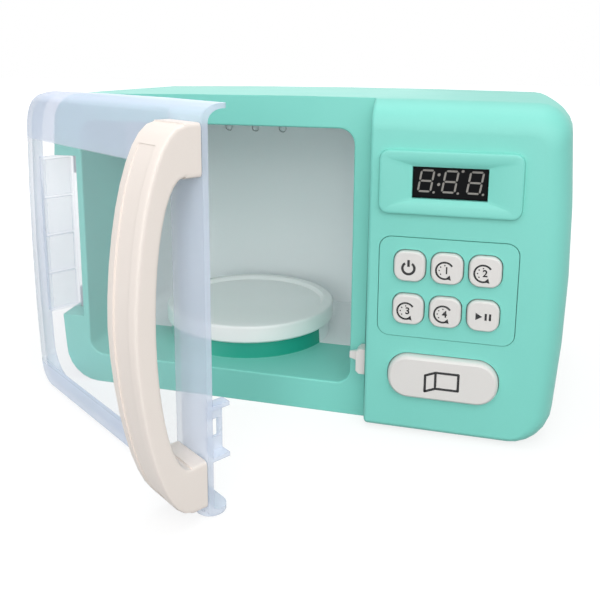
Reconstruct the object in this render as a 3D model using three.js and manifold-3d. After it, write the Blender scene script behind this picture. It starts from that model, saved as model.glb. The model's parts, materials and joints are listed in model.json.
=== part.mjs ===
// A toy microwave oven in millimetres, +Z up, front face towards -Y.
// The origin is the middle of the flat underside.
// The door hangs on its left edge and is modelled part open.
import * as THREE from 'three'
import { mergeVertices } from 'three/addons/utils/BufferGeometryUtils.js'
import Module from 'manifold-3d'

const wasm = await Module()
wasm.setup()

// Driving dimensions of the case
const BODY_WIDTH = 288
const BODY_DEPTH = 158
const BODY_HEIGHT = 170
const CASE_WALL = 2.4
const SEAT_GAP = 0.3
const SIDE_BOW = 3
const REAR_FLARE = 4
const FLARE_LENGTH = 60
const TOP_CROWN = 1.2
const TOP_CORNER_RADIUS = 16
const BOTTOM_CORNER_RADIUS = 20
const FRONT_ROUND_DEPTH = 15
const FRONT_TOP_DROP = 15
const FRONT_SIDE_DROP = 12
const FRONT_BOTTOM_RISE = 5
const BACK_ROUND = 12
const CASE_SEAM_FROM_FRONT = 49
const CUT_OVERRUN = 2

// Driving dimensions of the oven cavity
const CAVITY_STEP = 13
const PANEL_WIDTH = 100
const OPENING_SIDE_MARGIN = 23
const OPENING_BELOW_TOP = 16.2
const OPENING_RADIUS = 8
const OPENING_FLOOR = 17.5
const OPENING_TO_PANEL = 10
const CAVITY_BACK_MARGIN = 15
const TUNNEL_DEPTH_SHARE = 0.4
const LINER_WALL = 2
const LAMP_PITCH = 20
const LAMP_FROM_CENTRE = 18
const LAMP_BELOW_ROOF = 13
const LAMP_RADIUS = 2.5
const LAMP_HOLE_CLEARANCE = 0.3
const LAMP_PROUD = 1.4
const LAMP_LENGTH = 6.5
const LAMP_BOARD_THICKNESS = 1.6
const LAMP_BOARD_HEIGHT = 9
const LAMP_BOARD_MARGIN = 8
const LAMP_POST_RADIUS = 2.2

// Driving dimensions of the turntable and its drive
const PLATE_MARGIN = 18.25
const PLATE_TOP = 38
const PLATE_HEIGHT = 10.5
const PLATE_RIM_WIDTH = 8
const PLATE_DISH = 2.2
const PLATE_FLOOR = 2.4
const PLATE_WALL = 3
const PLATE_DIMPLE_RADIUS = 2.8
const PLATE_DIMPLE_DEPTH = 0.6
const DRUM_BELOW_PLATE_RIM = 3
const DRUM_FOOT_SPREAD = 0.6
const DRUM_WALL = 2
const SHAFT_RADIUS = 3
const SHAFT_COLLAR_RADIUS = 5.2
const SHAFT_HOLE_RADIUS = 6
const SHAFT_BORE_CLEARANCE = 0.3
const HUB_RADIUS = 8
const GEAR_DIAMETER_PER_TOOTH = 1
const DRIVE_GEAR_TEETH = 36
const PINION_TEETH = 12
const GEAR_WIDTH = 4
const MOTOR_RADIUS = 10
const MOTOR_HEIGHT = 11
const MOTOR_SHAFT_RADIUS = 1
const MOTOR_BED_THICKNESS = 2
const MOTOR_BED_MARGIN = 6
const BEARING_WALL = 2.4
const BEARING_HEIGHT = 5
const MOTOR_CUP_HEIGHT = 5

// Driving dimensions of the door
const DOOR_OPEN_DEGREES = 33.5
const DOOR_WALL = 2
const DOOR_FLANGE = 11.3
const DOOR_LIFT = 1.2
const DOOR_OVERLAP = 1.5
const DOOR_ROUND_DEPTH = 9
const DOOR_TOP_DROP = 5
const DOOR_BOTTOM_RISE = 2.5
const DOOR_FREE_GAP = 0.8
const DOOR_TOP_RADIUS = 26
const DOOR_CORNER_RADIUS = 2
const DOOR_FOOT_RADIUS = 6.5
const DOOR_BAND_PROUD = 0.6
const HINGE_INSET = 5
const HINGE_BEHIND_FACE = 17
const HINGE_END_MARGINS = 78.5
const HINGE_ABOVE_MIDDLE = 1.75
const HINGE_BARREL_RADIUS = 4.2
const HINGE_PIN_RADIUS = 1.5
const HINGE_PIN_CLEARANCE = 0.3
const HINGE_PIN_LENGTH = 17
const HINGE_PIN_GRIP = 5
const HINGE_ARM = 3
const HINGE_RIB = 1.4
const HINGE_RIBS = 5
const NOTCH_END_GAP = 1.5
const NOTCH_DEPTH = 28.5
const NOTCH_INNER = 15.5
const NOTCH_WALL = 2
const NOTCH_LEDGE = 7

// Driving dimensions of the handle
const HANDLE_WIDTH = 23.2
const HANDLE_FROM_EDGE = 0.2
const HANDLE_REACH = 31
const HANDLE_GRIP_REACH = 21.6
const HANDLE_ABOVE_MIDDLE = 0.4
const HANDLE_END_MARGIN = 6
const HANDLE_FOOT_HEIGHT = 20.8
const HANDLE_FOOT_STEP = 0.5
const HANDLE_FOOT_REACH = 8
const HANDLE_FOOT_DEPTH = 8
const HANDLE_EDGE = 1.8
const HANDLE_GROOVE_WIDTH = 12
const HANDLE_GROOVE_DEPTH = 0.8
const HANDLE_GROOVE_MARGIN = 8
const HANDLE_SCREW_MARGIN = 15
const HANDLE_ARCH_POWER = 1.7
const GRIP_ARCH_POWER = 2
const HANDLE_STEPS = 20
const SCREW_RADIUS = 1.3
const SCREW_HEAD_RADIUS = 2.8
const SCREW_HEAD_HEIGHT = 1.6
const SCREW_SLOT_WIDTH = 0.8
const SCREW_LENGTH = 9
const SCREW_CLEARANCE = 0.3

// Driving dimensions of the control panel
const CONTROL_FROM_STEP = 39.2
const BEZEL_LEFT_SHIFT = 0.6
const BEZEL_WIDTH = 67.4
const BEZEL_HEIGHT_SHARE = 0.185
const BEZEL_RADIUS = 5
const BEZEL_CENTRE_SHARE = 0.768
const BEZEL_PROUD = 3
const BEZEL_EDGE = 1.6
const BEZEL_RIM = 4.6
const BEZEL_LEDGE = 0.6
const BEZEL_DISH_RADIUS = 1.5
const BEZEL_DISH = 2.4
const WINDOW_WIDTH = 35.3
const WINDOW_HEIGHT = 15.5
const DISPLAY_RECESS = 1.6
const KEYPAD_WIDTH = 66.5
const KEYPAD_ROOM_SHARE = 0.72
const KEYPAD_RADIUS = 6
const KEYPAD_BELOW_MIDDLE = 1.3
const KEYPAD_PROUD = 0.4
const FLANGE_LIP = 1.9
const FLANGE_THICKNESS = 1.4
const BUTTON_SIZE = 15.2
const BUTTON_RADIUS = 5
const BUTTON_PITCH_X = 17.9
const BUTTON_PITCH_Z_SHARE = 0.129
const BUTTON_PROUD = 2.6
const BUTTON_EDGE = 0.8
const BUTTON_GAP = 0.4
const BUTTON_LIP = 0.4
const BUTTON_ROWS_LIFT = 0.4
const BUTTON_TRAVEL = 1.2
const BUTTON_STEM_RADIUS = 2
const SWITCH_SIZE = 6
const SWITCH_HEIGHT = 3.4
const SWITCH_PLUNGER_RADIUS = 1.7
const SWITCH_PLUNGER_HEIGHT = 0.9
const OPEN_WIDTH = 53.8
const OPEN_HEIGHT = 22.2
const OPEN_RADIUS = 10.4
const OPEN_CENTRE = 32.8
const OPEN_PROUD = 4.2
const OPEN_EDGE = 1.5
const OPEN_TRAVEL = 3
const OPEN_LIP = 1.4
const BOARD_BEHIND_FRONT = 13
const BOARD_THICKNESS = 1.6
const BOARD_FROM_STEP = 6
const BOARD_WIDTH = 76
const BOARD_BOTTOM = 52
const BOARD_BELOW_TOP = 18
const BOARD_POST_RADIUS = 2.5
const BOARD_POST_INSET = 7
const BOARD_TOP_POST_DROP = 3
const BOARD_LOW_POST_RISE = 6
const BOARD_LOW_POST_INSET = 2.5

// Driving dimensions of the latch
const LATCH_BOTTOM = 28.2
const LATCH_HEIGHT = 13.4
const LATCH_REACH = 5.1
const LATCH_THICKNESS = 8
const LATCH_BEHIND_FRONT = 3.5
const LATCH_CORNER = 1.6
const LATCH_TAIL = 6
const NUB_REACH = 3.6
const NUB_BOTTOM = 35
const NUB_HEIGHT = 4.8
const NUB_TIP_HEIGHT = 3.4
const NUB_THICKNESS = 3.5
const NUB_TIP_THICKNESS = 2
const NUB_BEHIND_FRONT = 4.5
const SLOT_CLEARANCE = 0.5
const LATCH_TRAVEL_PER_PRESS = 4 / 3
const LATCH_BAR_DROP = 2.7
const LATCH_BAR_HEIGHT = 5.5
const LATCH_BAR_FRONT = 8.2
const LATCH_BAR_THICKNESS = 4.3
const LUG_LEFT_FROM_STEP = 13
const LUG_LENGTH = 10
const LUG_HEIGHT = 7.5
const LUG_THICKNESS = 6.3
const WEDGE_LEAD = 1.2
const WEDGE_REACH = 7.45
const WEDGE_HEIGHT = 6
const WEDGE_OVER_BAR = 1
const GUIDE_THICKNESS = 2
const SPRING_WIRE_RADIUS = 0.4
const SPRING_SIDES = 5
const SPRING_STEPS_PER_TURN = 8
const SPRING_SEAT_HALF = 4.5
const LATCH_SPRING_RADIUS = 2.4
const LATCH_SPRING_TURNS = 5
const LATCH_SPRING_LENGTH = 8.4
const OPEN_SPRING_RADIUS = 3.4
const OPEN_SPRING_TURNS = 4
const OPEN_SPRING_LENGTH = 6
const OPEN_SPRING_SHIFT = 16
const SPRING_POST_CLEARANCE = 0.5

// Driving dimensions of the catch housing on the door
const CATCH_TOP = 50.2
const CATCH_BOTTOM = 25.8
const CATCH_WALL = 1.8
const CATCH_DEPTH = 7.2
const CATCH_REACH = 10.4
const CATCH_CHAMFER = 2
const NUB_WINDOW_CLEARANCE = 1.7
const NUB_HOOK_CLEARANCE = 0.6

// Driving dimensions of the power, sound and fixing pieces at the back
const CELL_RADIUS = 7.1
const CELL_LENGTH = 48.6
const CELL_TIP_RADIUS = 2.6
const CELL_TIP_LENGTH = 1.4
const CELL_COUNT = 3
const CELL_PITCH = 15.2
const CONTACT_THICKNESS = 0.5
const CONTACT_WIDTH = 9
const BATTERY_ROOM = 1.4
const BATTERY_BAY_DEPTH = 16
const BATTERY_WALL = 3.4
const BATTERY_LID_LIP = 2
const BATTERY_LID_THICKNESS = 2
const BATTERY_FROM_SIDE = 56
const BATTERY_MIDDLE_Z = 55
const BATTERY_SCREW_LENGTH = 8
const LID_SCREW_RECESS = 1.2
const SPEAKER_RADIUS = 18
const SPEAKER_DEPTH = 10
const SPEAKER_MAGNET_RADIUS = 9
const SPEAKER_FRAME_DEPTH = 4
const SPEAKER_RING_DEPTH = 5
const SPEAKER_FROM_SIDE = 56
const SPEAKER_BELOW_MIDDLE = 3.3
const SPEAKER_RING = 1.8
const GRILLE_SLOTS = 5
const GRILLE_PITCH = 5
const GRILLE_SLOT_WIDTH = 2
const GRILLE_LENGTH = 24
const BOSS_FROM_SIDE = 14
const BOSS_BELOW_TOP = 9.5
const BOSS_BOTTOM_Z = 11.5
const BOSS_RADIUS = 3.4
const BOSS_TUBE_RADIUS = 4.6
const BOSS_TUBE_BORE = 3.3
const BOSS_SEAT = 14
const CASE_SCREW_LENGTH = 22
const PILOT_CLEARANCE = 0.3
const CRADLE_RIB = 2
const CRADLE_RIB_FROM_MOUNT = 6

// Facet counts
const CORNER_FACETS = 6
const BOW_FACETS = 4
const CROWN_FACETS = 4
const ROUND_STEPS = 6
const BACK_STEPS = 2
const SMALL_FACETS = 12
const ROUND_FACETS = 24
const DRUM_FACETS = 48

// Shapes along a rounded edge, as shares of the edge's size
const DOME_SHARES = [[0, 1], [0.2, 0.45], [0.55, 0.12], [1, 0]]

// A gear tooth's reach as shares of the module, and its widths as shares of one tooth's turn
const TOOTH_TIP_SHARE = 0.7
const TOOTH_ROOT_SHARE = 1.3
const ROOT_WIDTH_SHARE = 0.52
const TIP_WIDTH_SHARE = 0.18

const QUARTER_TURN = 90

// Colours of the plastics and metals
const MINT = { color: 0x7dcdbe, roughness: 0.42, metalness: 0 }
const WHITE = { color: 0xe4e2de, roughness: 0.4, metalness: 0 }
const LINER_WHITE = { color: 0xe2e6e4, roughness: 0.5, metalness: 0 }
const CREAM = { color: 0xebe1d7, roughness: 0.45, metalness: 0 }
const CLEAR = { color: 0xc8d4e2, roughness: 0.12, metalness: 0, opacity: 0.4, transparent: true }
const BLACK = { color: 0x141516, roughness: 0.35, metalness: 0 }
const STEEL = { color: 0xb8bcc0, roughness: 0.3, metalness: 1 }
const BOARD_GREEN = { color: 0x2f7a4c, roughness: 0.6, metalness: 0 }
const GEAR_WHITE = { color: 0xf0efe9, roughness: 0.5, metalness: 0 }
const CELL_SLEEVE = { color: 0x3a5f8a, roughness: 0.35, metalness: 0.2 }

// Places that follow from the driving dimensions
const FRONT = -BODY_DEPTH / 2
const BACK = BODY_DEPTH / 2
const CAVITY_FACE = FRONT + CAVITY_STEP
const CASE_SEAM = FRONT + CASE_SEAM_FROM_FRONT
const SIDE = BODY_WIDTH / 2
const PANEL_LEFT = SIDE - PANEL_WIDTH
const OPENING_RIGHT = PANEL_LEFT - OPENING_TO_PANEL
const OPENING_WIDTH = OPENING_RIGHT + SIDE - OPENING_SIDE_MARGIN
const OPENING_HEIGHT = BODY_HEIGHT - OPENING_FLOOR - OPENING_BELOW_TOP
const OPENING_LEFT = OPENING_RIGHT - OPENING_WIDTH
const OPENING_MIDDLE = (OPENING_LEFT + OPENING_RIGHT) / 2
const OPENING_ROOF = OPENING_FLOOR + OPENING_HEIGHT
const OPENING_CENTRE = (OPENING_FLOOR + OPENING_ROOF) / 2
const CAVITY_BACK = BACK - CAVITY_BACK_MARGIN
const CAVITY_DEPTH = CAVITY_BACK - CAVITY_FACE
const TUNNEL_END = CAVITY_FACE + CAVITY_DEPTH * TUNNEL_DEPTH_SHARE
const TABLE_X = OPENING_MIDDLE
const TABLE_Y = (CAVITY_FACE + CAVITY_BACK) / 2
const PLATE_RADIUS = (OPENING_WIDTH + CAVITY_DEPTH) / 4 - PLATE_MARGIN
const PLATE_BOTTOM = PLATE_TOP - PLATE_HEIGHT
const DRUM_TOP_RADIUS = PLATE_RADIUS - DRUM_BELOW_PLATE_RIM
const DRUM_FOOT_RADIUS = DRUM_TOP_RADIUS + DRUM_FOOT_SPREAD
const DRUM_TOP = PLATE_BOTTOM - SEAT_GAP
const FRONT_SIDE = SIDE - REAR_FLARE
const HINGE_X = -FRONT_SIDE + HINGE_INSET
const HINGE_Y = CAVITY_FACE + HINGE_BEHIND_FACE
const HINGE_HEIGHT = BODY_HEIGHT - HINGE_END_MARGINS
const HINGE_CENTRE = BODY_HEIGHT / 2 + HINGE_ABOVE_MIDDLE
const HINGE_LOW = HINGE_CENTRE - HINGE_HEIGHT / 2
const HINGE_HIGH = HINGE_CENTRE + HINGE_HEIGHT / 2
const DOOR_RIGHT = PANEL_LEFT - DOOR_FREE_GAP
const HANDLE_CENTRE = BODY_HEIGHT / 2 + HANDLE_ABOVE_MIDDLE
const HANDLE_HALF_HEIGHT = BODY_HEIGHT / 2 - HANDLE_END_MARGIN
const HANDLE_GRIP_HALF = HANDLE_HALF_HEIGHT - HANDLE_FOOT_HEIGHT
const HANDLE_GROOVE_HALF = HANDLE_HALF_HEIGHT - HANDLE_GROOVE_MARGIN
const HANDLE_SCREW_OFFSET = HANDLE_HALF_HEIGHT - HANDLE_SCREW_MARGIN
const CONTROL_MIDDLE = PANEL_LEFT + CONTROL_FROM_STEP
const BEZEL_HEIGHT = BODY_HEIGHT * BEZEL_HEIGHT_SHARE
const BEZEL_CENTRE = BODY_HEIGHT * BEZEL_CENTRE_SHARE
const BEZEL_BOTTOM = BEZEL_CENTRE - BEZEL_HEIGHT / 2
const OPEN_TOP = OPEN_CENTRE + OPEN_HEIGHT / 2
const KEYPAD_HEIGHT = (BEZEL_BOTTOM - OPEN_TOP) * KEYPAD_ROOM_SHARE
const KEYPAD_CENTRE = (BEZEL_BOTTOM + OPEN_TOP) / 2 - KEYPAD_BELOW_MIDDLE
const BUTTON_PITCH_Z = BODY_HEIGHT * BUTTON_PITCH_Z_SHARE
const BUTTON_ROWS_CENTRE = KEYPAD_CENTRE + BUTTON_ROWS_LIFT
const BOARD_TOP = BODY_HEIGHT - BOARD_BELOW_TOP
const BOSS_X = SIDE - BOSS_FROM_SIDE
const BOSS_TOP_Z = BODY_HEIGHT - BOSS_BELOW_TOP
const BATTERY_MIDDLE_X = SIDE - BATTERY_FROM_SIDE
const SPEAKER_X = SIDE - SPEAKER_FROM_SIDE
const PANEL_BACK = FRONT + CASE_WALL
const BOARD_FRONT = FRONT + BOARD_BEHIND_FRONT
const SEAM_HALF = SEAT_GAP / 2

// A closed mesh becomes a solid, with its faces turned outwards.
function solidOf(geometry) {
  const bare = new THREE.BufferGeometry()
  bare.setAttribute('position', geometry.attributes.position.clone())
  if (geometry.index) bare.setIndex(geometry.index.clone())
  const merged = mergeVertices(bare)
  const at = merged.attributes.position
  const a = new THREE.Vector3()
  const b = new THREE.Vector3()
  const c = new THREE.Vector3()
  let triangles = []
  let volume = 0
  for (let i = 0; i < merged.index.count; i += 3) {
    const corners = [0, 1, 2].map(k => merged.index.getX(i + k))
    if (new Set(corners).size < 3) continue
    a.fromBufferAttribute(at, corners[0])
    b.fromBufferAttribute(at, corners[1])
    c.fromBufferAttribute(at, corners[2])
    volume += a.dot(b.cross(c))
    triangles.push(corners)
  }
  if (volume < 0) triangles = triangles.map(t => [t[0], t[2], t[1]])
  return new wasm.Manifold(new wasm.Mesh({
    numProp: 3,
    vertProperties: new Float32Array(at.array),
    triVerts: new Uint32Array(triangles.flat()),
  }))
}

// A solid becomes a mesh geometry again.
function geometryOf(solid) {
  const mesh = solid.getMesh()
  const geometry = new THREE.BufferGeometry()
  geometry.setAttribute('position', new THREE.BufferAttribute(new Float32Array(mesh.vertProperties), 3))
  geometry.setIndex(new THREE.BufferAttribute(new Uint32Array(mesh.triVerts), 1))
  geometry.computeVertexNormals()
  return geometry
}

function block(x, y, z) {
  const geometry = new THREE.BoxGeometry(x[1] - x[0], y[1] - y[0], z[1] - z[0])
  geometry.translate((x[0] + x[1]) / 2, (y[0] + y[1]) / 2, (z[0] + z[1]) / 2)
  return solidOf(geometry)
}

// Round bars along each axis
function barZ(radius, x, y, z, facets = ROUND_FACETS, topRadius = radius) {
  const geometry = new THREE.CylinderGeometry(topRadius, radius, z[1] - z[0], facets)
  geometry.rotateX(Math.PI / 2)
  geometry.translate(x, y, (z[0] + z[1]) / 2)
  return solidOf(geometry)
}

function barY(radius, x, y, z, facets = SMALL_FACETS) {
  const geometry = new THREE.CylinderGeometry(radius, radius, y[1] - y[0], facets)
  geometry.translate(x, (y[0] + y[1]) / 2, z)
  return solidOf(geometry)
}

function barX(radius, x, y, z, facets = SMALL_FACETS) {
  const geometry = new THREE.CylinderGeometry(radius, radius, x[1] - x[0], facets)
  geometry.rotateZ(Math.PI / 2)
  geometry.translate((x[0] + x[1]) / 2, y, z)
  return solidOf(geometry)
}

// Outlines are lists of points, anticlockwise
function polar(x, z, radius, angle) {
  return new THREE.Vector2(x + radius * Math.cos(angle), z + radius * Math.sin(angle))
}

function roundedRectangle(width, height, radius, x, z, facets = CORNER_FACETS) {
  const points = []
  const corners = [[1, -1], [1, 1], [-1, 1], [-1, -1]]
  corners.forEach(([right, up], quarter) => {
    const cx = x + right * (width / 2 - radius)
    const cz = z + up * (height / 2 - radius)
    for (let k = 0; k <= facets; k++) {
      points.push(polar(cx, cz, radius, (quarter - 1 + k / facets) * Math.PI / 2))
    }
  })
  return points
}

// A prism along Y of an outline in X and Z
function prismY(points, front, back) {
  const depth = back - front
  const geometry = new THREE.ExtrudeGeometry(new THREE.Shape(points), { depth, bevelEnabled: false })
  geometry.rotateX(Math.PI / 2)
  geometry.translate(0, back, 0)
  return solidOf(geometry)
}

// A prism along Z of an outline in X and Y
function prismZ(points, low, high) {
  const depth = high - low
  const geometry = new THREE.ExtrudeGeometry(new THREE.Shape(points), { depth, bevelEnabled: false })
  geometry.translate(0, 0, low)
  return solidOf(geometry)
}

// A prism along X of an outline in Y and Z, with its long edges rounded if asked
function prismX(points, left, right, edge = 0) {
  const geometry = new THREE.ExtrudeGeometry(new THREE.Shape(points), {
    depth: right - left - 2 * edge,
    bevelEnabled: edge > 0,
    bevelThickness: edge,
    bevelSize: edge,
    bevelOffset: -edge,
    bevelSegments: 2,
  })
  geometry.rotateX(Math.PI / 2)
  geometry.rotateZ(Math.PI / 2)
  geometry.translate(left + edge, 0, 0)
  return solidOf(geometry)
}

function circle(radius, x, z, facets) {
  const points = []
  for (let k = 0; k < facets; k++) points.push(polar(x, z, radius, k / facets * 2 * Math.PI))
  return points
}

// Rings with the same number of points, joined from front to back and capped
function loftY(rings) {
  const count = rings[0].points.length
  const positions = []
  const indices = []
  for (const ring of rings) {
    for (const p of ring.points) positions.push(p.x, ring.y, p.y)
  }
  for (let j = 0; j + 1 < rings.length; j++) {
    for (let k = 0; k < count; k++) {
      const next = (k + 1) % count
      const a = j * count + k
      const b = j * count + next
      indices.push(a, a + count, b, b, a + count, b + count)
    }
  }
  const ends = [rings[0], rings[rings.length - 1]]
  ends.forEach((ring, end) => {
    const middle = new THREE.Vector2()
    ring.points.forEach(p => middle.addScaledVector(p, 1 / count))
    positions.push(middle.x, ring.y, middle.y)
    const hub = rings.length * count + end
    const start = end * (rings.length - 1) * count
    for (let k = 0; k < count; k++) {
      const pair = [start + k, start + (k + 1) % count]
      indices.push(hub, pair[end], pair[1 - end])
    }
  })
  const geometry = new THREE.BufferGeometry()
  geometry.setAttribute('position', new THREE.Float32BufferAttribute(positions, 3))
  geometry.setIndex(indices)
  return solidOf(geometry)
}

// A profile of radius and height pairs, spun about a vertical axis
function spun(profile, x, y, facets) {
  const points = profile.map(([radius, height]) => new THREE.Vector2(radius, height))
  const geometry = new THREE.LatheGeometry(points, facets)
  geometry.rotateX(Math.PI / 2)
  geometry.translate(x, y, 0)
  return solidOf(geometry)
}

function joined(first, ...others) {
  return others.reduce((sum, other) => sum.add(other), first)
}

function less(first, ...others) {
  return others.reduce((rest, other) => rest.subtract(other), first)
}

// The front view of the case: rounded corners, bowed sides and a crowned top
function caseOutline(half, low, high, lowRadius, highRadius) {
  const points = []
  const arc = (cx, cz, radius, quarter) => {
    for (let k = 0; k <= CORNER_FACETS; k++) {
      points.push(polar(cx, cz, radius, (quarter + k / CORNER_FACETS) * Math.PI / 2))
    }
  }
  const bow = (sign, from, to) => {
    for (let k = 1; k < BOW_FACETS; k++) {
      const share = k / BOW_FACETS
      const bulge = SIDE_BOW * (1 - (2 * share - 1) ** 2)
      points.push(new THREE.Vector2(sign * (half + bulge), from + (to - from) * share))
    }
  }
  arc(half - lowRadius, low + lowRadius, lowRadius, -1)
  bow(1, low + lowRadius, high - highRadius)
  arc(half - highRadius, high - highRadius, highRadius, 0)
  for (let k = 1; k < CROWN_FACETS; k++) {
    const share = 1 - 2 * k / CROWN_FACETS
    points.push(new THREE.Vector2((half - highRadius) * share, high + TOP_CROWN * (1 - share ** 2)))
  }
  arc(-half + highRadius, high - highRadius, highRadius, 1)
  bow(-1, high - highRadius, low + lowRadius)
  arc(-half + lowRadius, low + lowRadius, lowRadius, 2)
  return points
}

// How the front edges of the case and of the door are rounded, and how far the door stands over the case
const caseFace = {
  depth: FRONT_ROUND_DEPTH,
  top: FRONT_TOP_DROP,
  bottom: FRONT_BOTTOM_RISE,
  lift: 0,
  over: 0,
  topRadius: TOP_CORNER_RADIUS,
}
const doorFace = {
  depth: DOOR_ROUND_DEPTH,
  top: DOOR_TOP_DROP,
  bottom: DOOR_BOTTOM_RISE,
  lift: DOOR_LIFT,
  over: DOOR_OVERLAP,
  topRadius: DOOR_TOP_RADIUS,
}

// The whole rounded form of the case or the door, drawn in by a wall's thickness
function caseForm(inset, face = caseFace) {
  const rings = []
  const cornerHalf = SIDE - SIDE_BOW - inset + face.over
  const top = BODY_HEIGHT - TOP_CROWN - inset + face.over
  const flareEnd = FRONT + FRONT_ROUND_DEPTH + FLARE_LENGTH
  const ring = (y, front, back) => {
    const ahead = THREE.MathUtils.clamp((flareEnd - y) / FLARE_LENGTH, 0, 1)
    const half = cornerHalf - REAR_FLARE * ahead ** 2 - FRONT_SIDE_DROP * front - BACK_ROUND * back
    const low = face.lift + inset + face.bottom * front + BACK_ROUND * back
    const high = top - face.top * front - BACK_ROUND * back
    const shrink = 1 - (front + back) / 2
    const lowRadius = (BOTTOM_CORNER_RADIUS - inset) * shrink
    const highRadius = (face.topRadius - inset) * shrink
    rings.push({ y, points: caseOutline(half, low, high, lowRadius, highRadius) })
  }
  for (let k = 0; k <= ROUND_STEPS; k++) {
    const angle = k / ROUND_STEPS * Math.PI / 2
    const setback = (face.depth - inset) * (1 - Math.cos(angle))
    ring(FRONT + inset + setback, 1 - Math.sin(angle), 0)
  }
  ring(flareEnd - FLARE_LENGTH / 2, 0, 0)
  ring(flareEnd, 0, 0)
  for (let k = 0; k <= BACK_STEPS; k++) {
    const angle = k / BACK_STEPS * Math.PI / 2
    ring(BACK - inset - (BACK_ROUND - inset) * (1 - Math.sin(angle)), 0, 1 - Math.cos(angle))
  }
  return loftY(rings)
}

// Spans wider and taller than the case, and small helpers for spans and points
const wide = [-BODY_WIDTH, BODY_WIDTH]
const tall = [-BODY_HEIGHT, BODY_HEIGHT * 2]
const outerForm = caseForm(0)
const innerForm = caseForm(CASE_WALL)
const grown = (span, by) => [span[0] - by, span[1] + by]
const about = (middle, size) => [middle - size / 2, middle + size / 2]
const ordered = (a, b) => [Math.min(a, b), Math.max(a, b)]
const point = (x, y) => new THREE.Vector2(x, y)

// The drum that carries the plate is split between the two cavity pieces.
function drum(inset, low, high) {
  const profile = [[0, low], [DRUM_FOOT_RADIUS - inset, low], [DRUM_TOP_RADIUS - inset, high], [0, high]]
  return spun(profile, TABLE_X, TABLE_Y, DRUM_FACETS)
}

function drumHollow() {
  return drum(DRUM_WALL, OPENING_FLOOR - LINER_WALL - CUT_OVERRUN, DRUM_TOP - DRUM_WALL)
}

function cavityTube(front, back) {
  const width = OPENING_WIDTH + 2 * LINER_WALL
  const height = OPENING_HEIGHT + 2 * LINER_WALL
  const radius = OPENING_RADIUS + LINER_WALL
  return prismY(roundedRectangle(width, height, radius, OPENING_MIDDLE, OPENING_CENTRE), front, back)
}

function cavityRoom(front, back) {
  const size = [OPENING_WIDTH, OPENING_HEIGHT, OPENING_RADIUS]
  return prismY(roundedRectangle(...size, OPENING_MIDDLE, OPENING_CENTRE), front, back)
}

// Posts for the circuit board and for the case screws
const boardX = [PANEL_LEFT + BOARD_FROM_STEP, PANEL_LEFT + BOARD_FROM_STEP + BOARD_WIDTH]
const betweenZ = (BEZEL_BOTTOM + KEYPAD_CENTRE + KEYPAD_HEIGHT / 2) / 2 + FLANGE_LIP / 2
const boardPosts = [[boardX[1] - BOARD_LOW_POST_INSET, BOARD_BOTTOM + BOARD_LOW_POST_RISE]]
for (const x of grown(boardX, -BOARD_POST_INSET)) {
  boardPosts.push([x, BOARD_TOP - BOARD_TOP_POST_DROP])
  boardPosts.push([x, betweenZ])
}
const bossPlaces = []
for (const z of [BOSS_TOP_Z, BOSS_BOTTOM_Z]) {
  for (const side of [-1, 1]) bossPlaces.push([side * BOSS_X, z])
}
const pilotRadius = SCREW_RADIUS + PILOT_CLEARANCE

// Heights behind the panel for the keys: plate, key flange, switch and board
const keypadBack = PANEL_BACK + SEAT_GAP + FLANGE_THICKNESS
const keyFlangeFront = keypadBack + SEAT_GAP
const keyFlangeBack = keyFlangeFront + FLANGE_THICKNESS
const switchBack = BOARD_FRONT - SEAT_GAP
const switchFront = switchBack - SWITCH_HEIGHT
const plungerFront = switchFront - SWITCH_PLUNGER_HEIGHT
const stemEnd = plungerFront - BUTTON_TRAVEL - SEAT_GAP
const keyPlaces = []
for (const row of [1, -1]) {
  for (const column of [-1, 0, 1]) {
    keyPlaces.push([CONTROL_MIDDLE + column * BUTTON_PITCH_X, BUTTON_ROWS_CENTRE + row * BUTTON_PITCH_Z / 2])
  }
}

// Where the latch, its bar, its lug and the big button's wedge lie
const openFlangeFront = PANEL_BACK + SEAT_GAP
const openFlangeBack = openFlangeFront + FLANGE_THICKNESS
const openPressed = openFlangeBack + OPEN_TRAVEL
const openSpringX = CONTROL_MIDDLE + OPEN_SPRING_SHIFT
const openSpringWall = openPressed + OPEN_SPRING_LENGTH + 2 * SEAT_GAP
const latchFront = FRONT + LATCH_BEHIND_FRONT
const latchBack = latchFront + LATCH_THICKNESS
const latchLeft = PANEL_LEFT - LATCH_REACH
const latchTop = LATCH_BOTTOM + LATCH_HEIGHT
const tailEnd = PANEL_LEFT + LATCH_TAIL
const barFront = FRONT + LATCH_BAR_FRONT
const barBack = barFront + LATCH_BAR_THICKNESS
const barLow = LATCH_BOTTOM - LATCH_BAR_DROP
const barHigh = barLow + LATCH_BAR_HEIGHT
const lugLeft = PANEL_LEFT + LUG_LEFT_FROM_STEP
const lugRight = lugLeft + LUG_LENGTH
const lugFront = barFront - SLOT_CLEARANCE
const lugBack = lugFront + LUG_THICKNESS
const lugMiddleZ = barHigh + LUG_HEIGHT / 2
const latchTravel = OPEN_TRAVEL * LATCH_TRAVEL_PER_PRESS
const springStop = lugRight + latchTravel + LATCH_SPRING_LENGTH + 2 * SEAT_GAP
const wedgeSlope = 1 / LATCH_TRAVEL_PER_PRESS
const wedgeRun = WEDGE_REACH / wedgeSlope
const wedgeLeft = lugLeft - WEDGE_LEAD

// The bezel round the display has a rounded outer edge and a dished inner slope.
const bezelMiddle = CONTROL_MIDDLE - BEZEL_LEFT_SHIFT

function bezelOutline(width, height, radius) {
  return roundedRectangle(width, height, radius, bezelMiddle, BEZEL_CENTRE)
}

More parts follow.
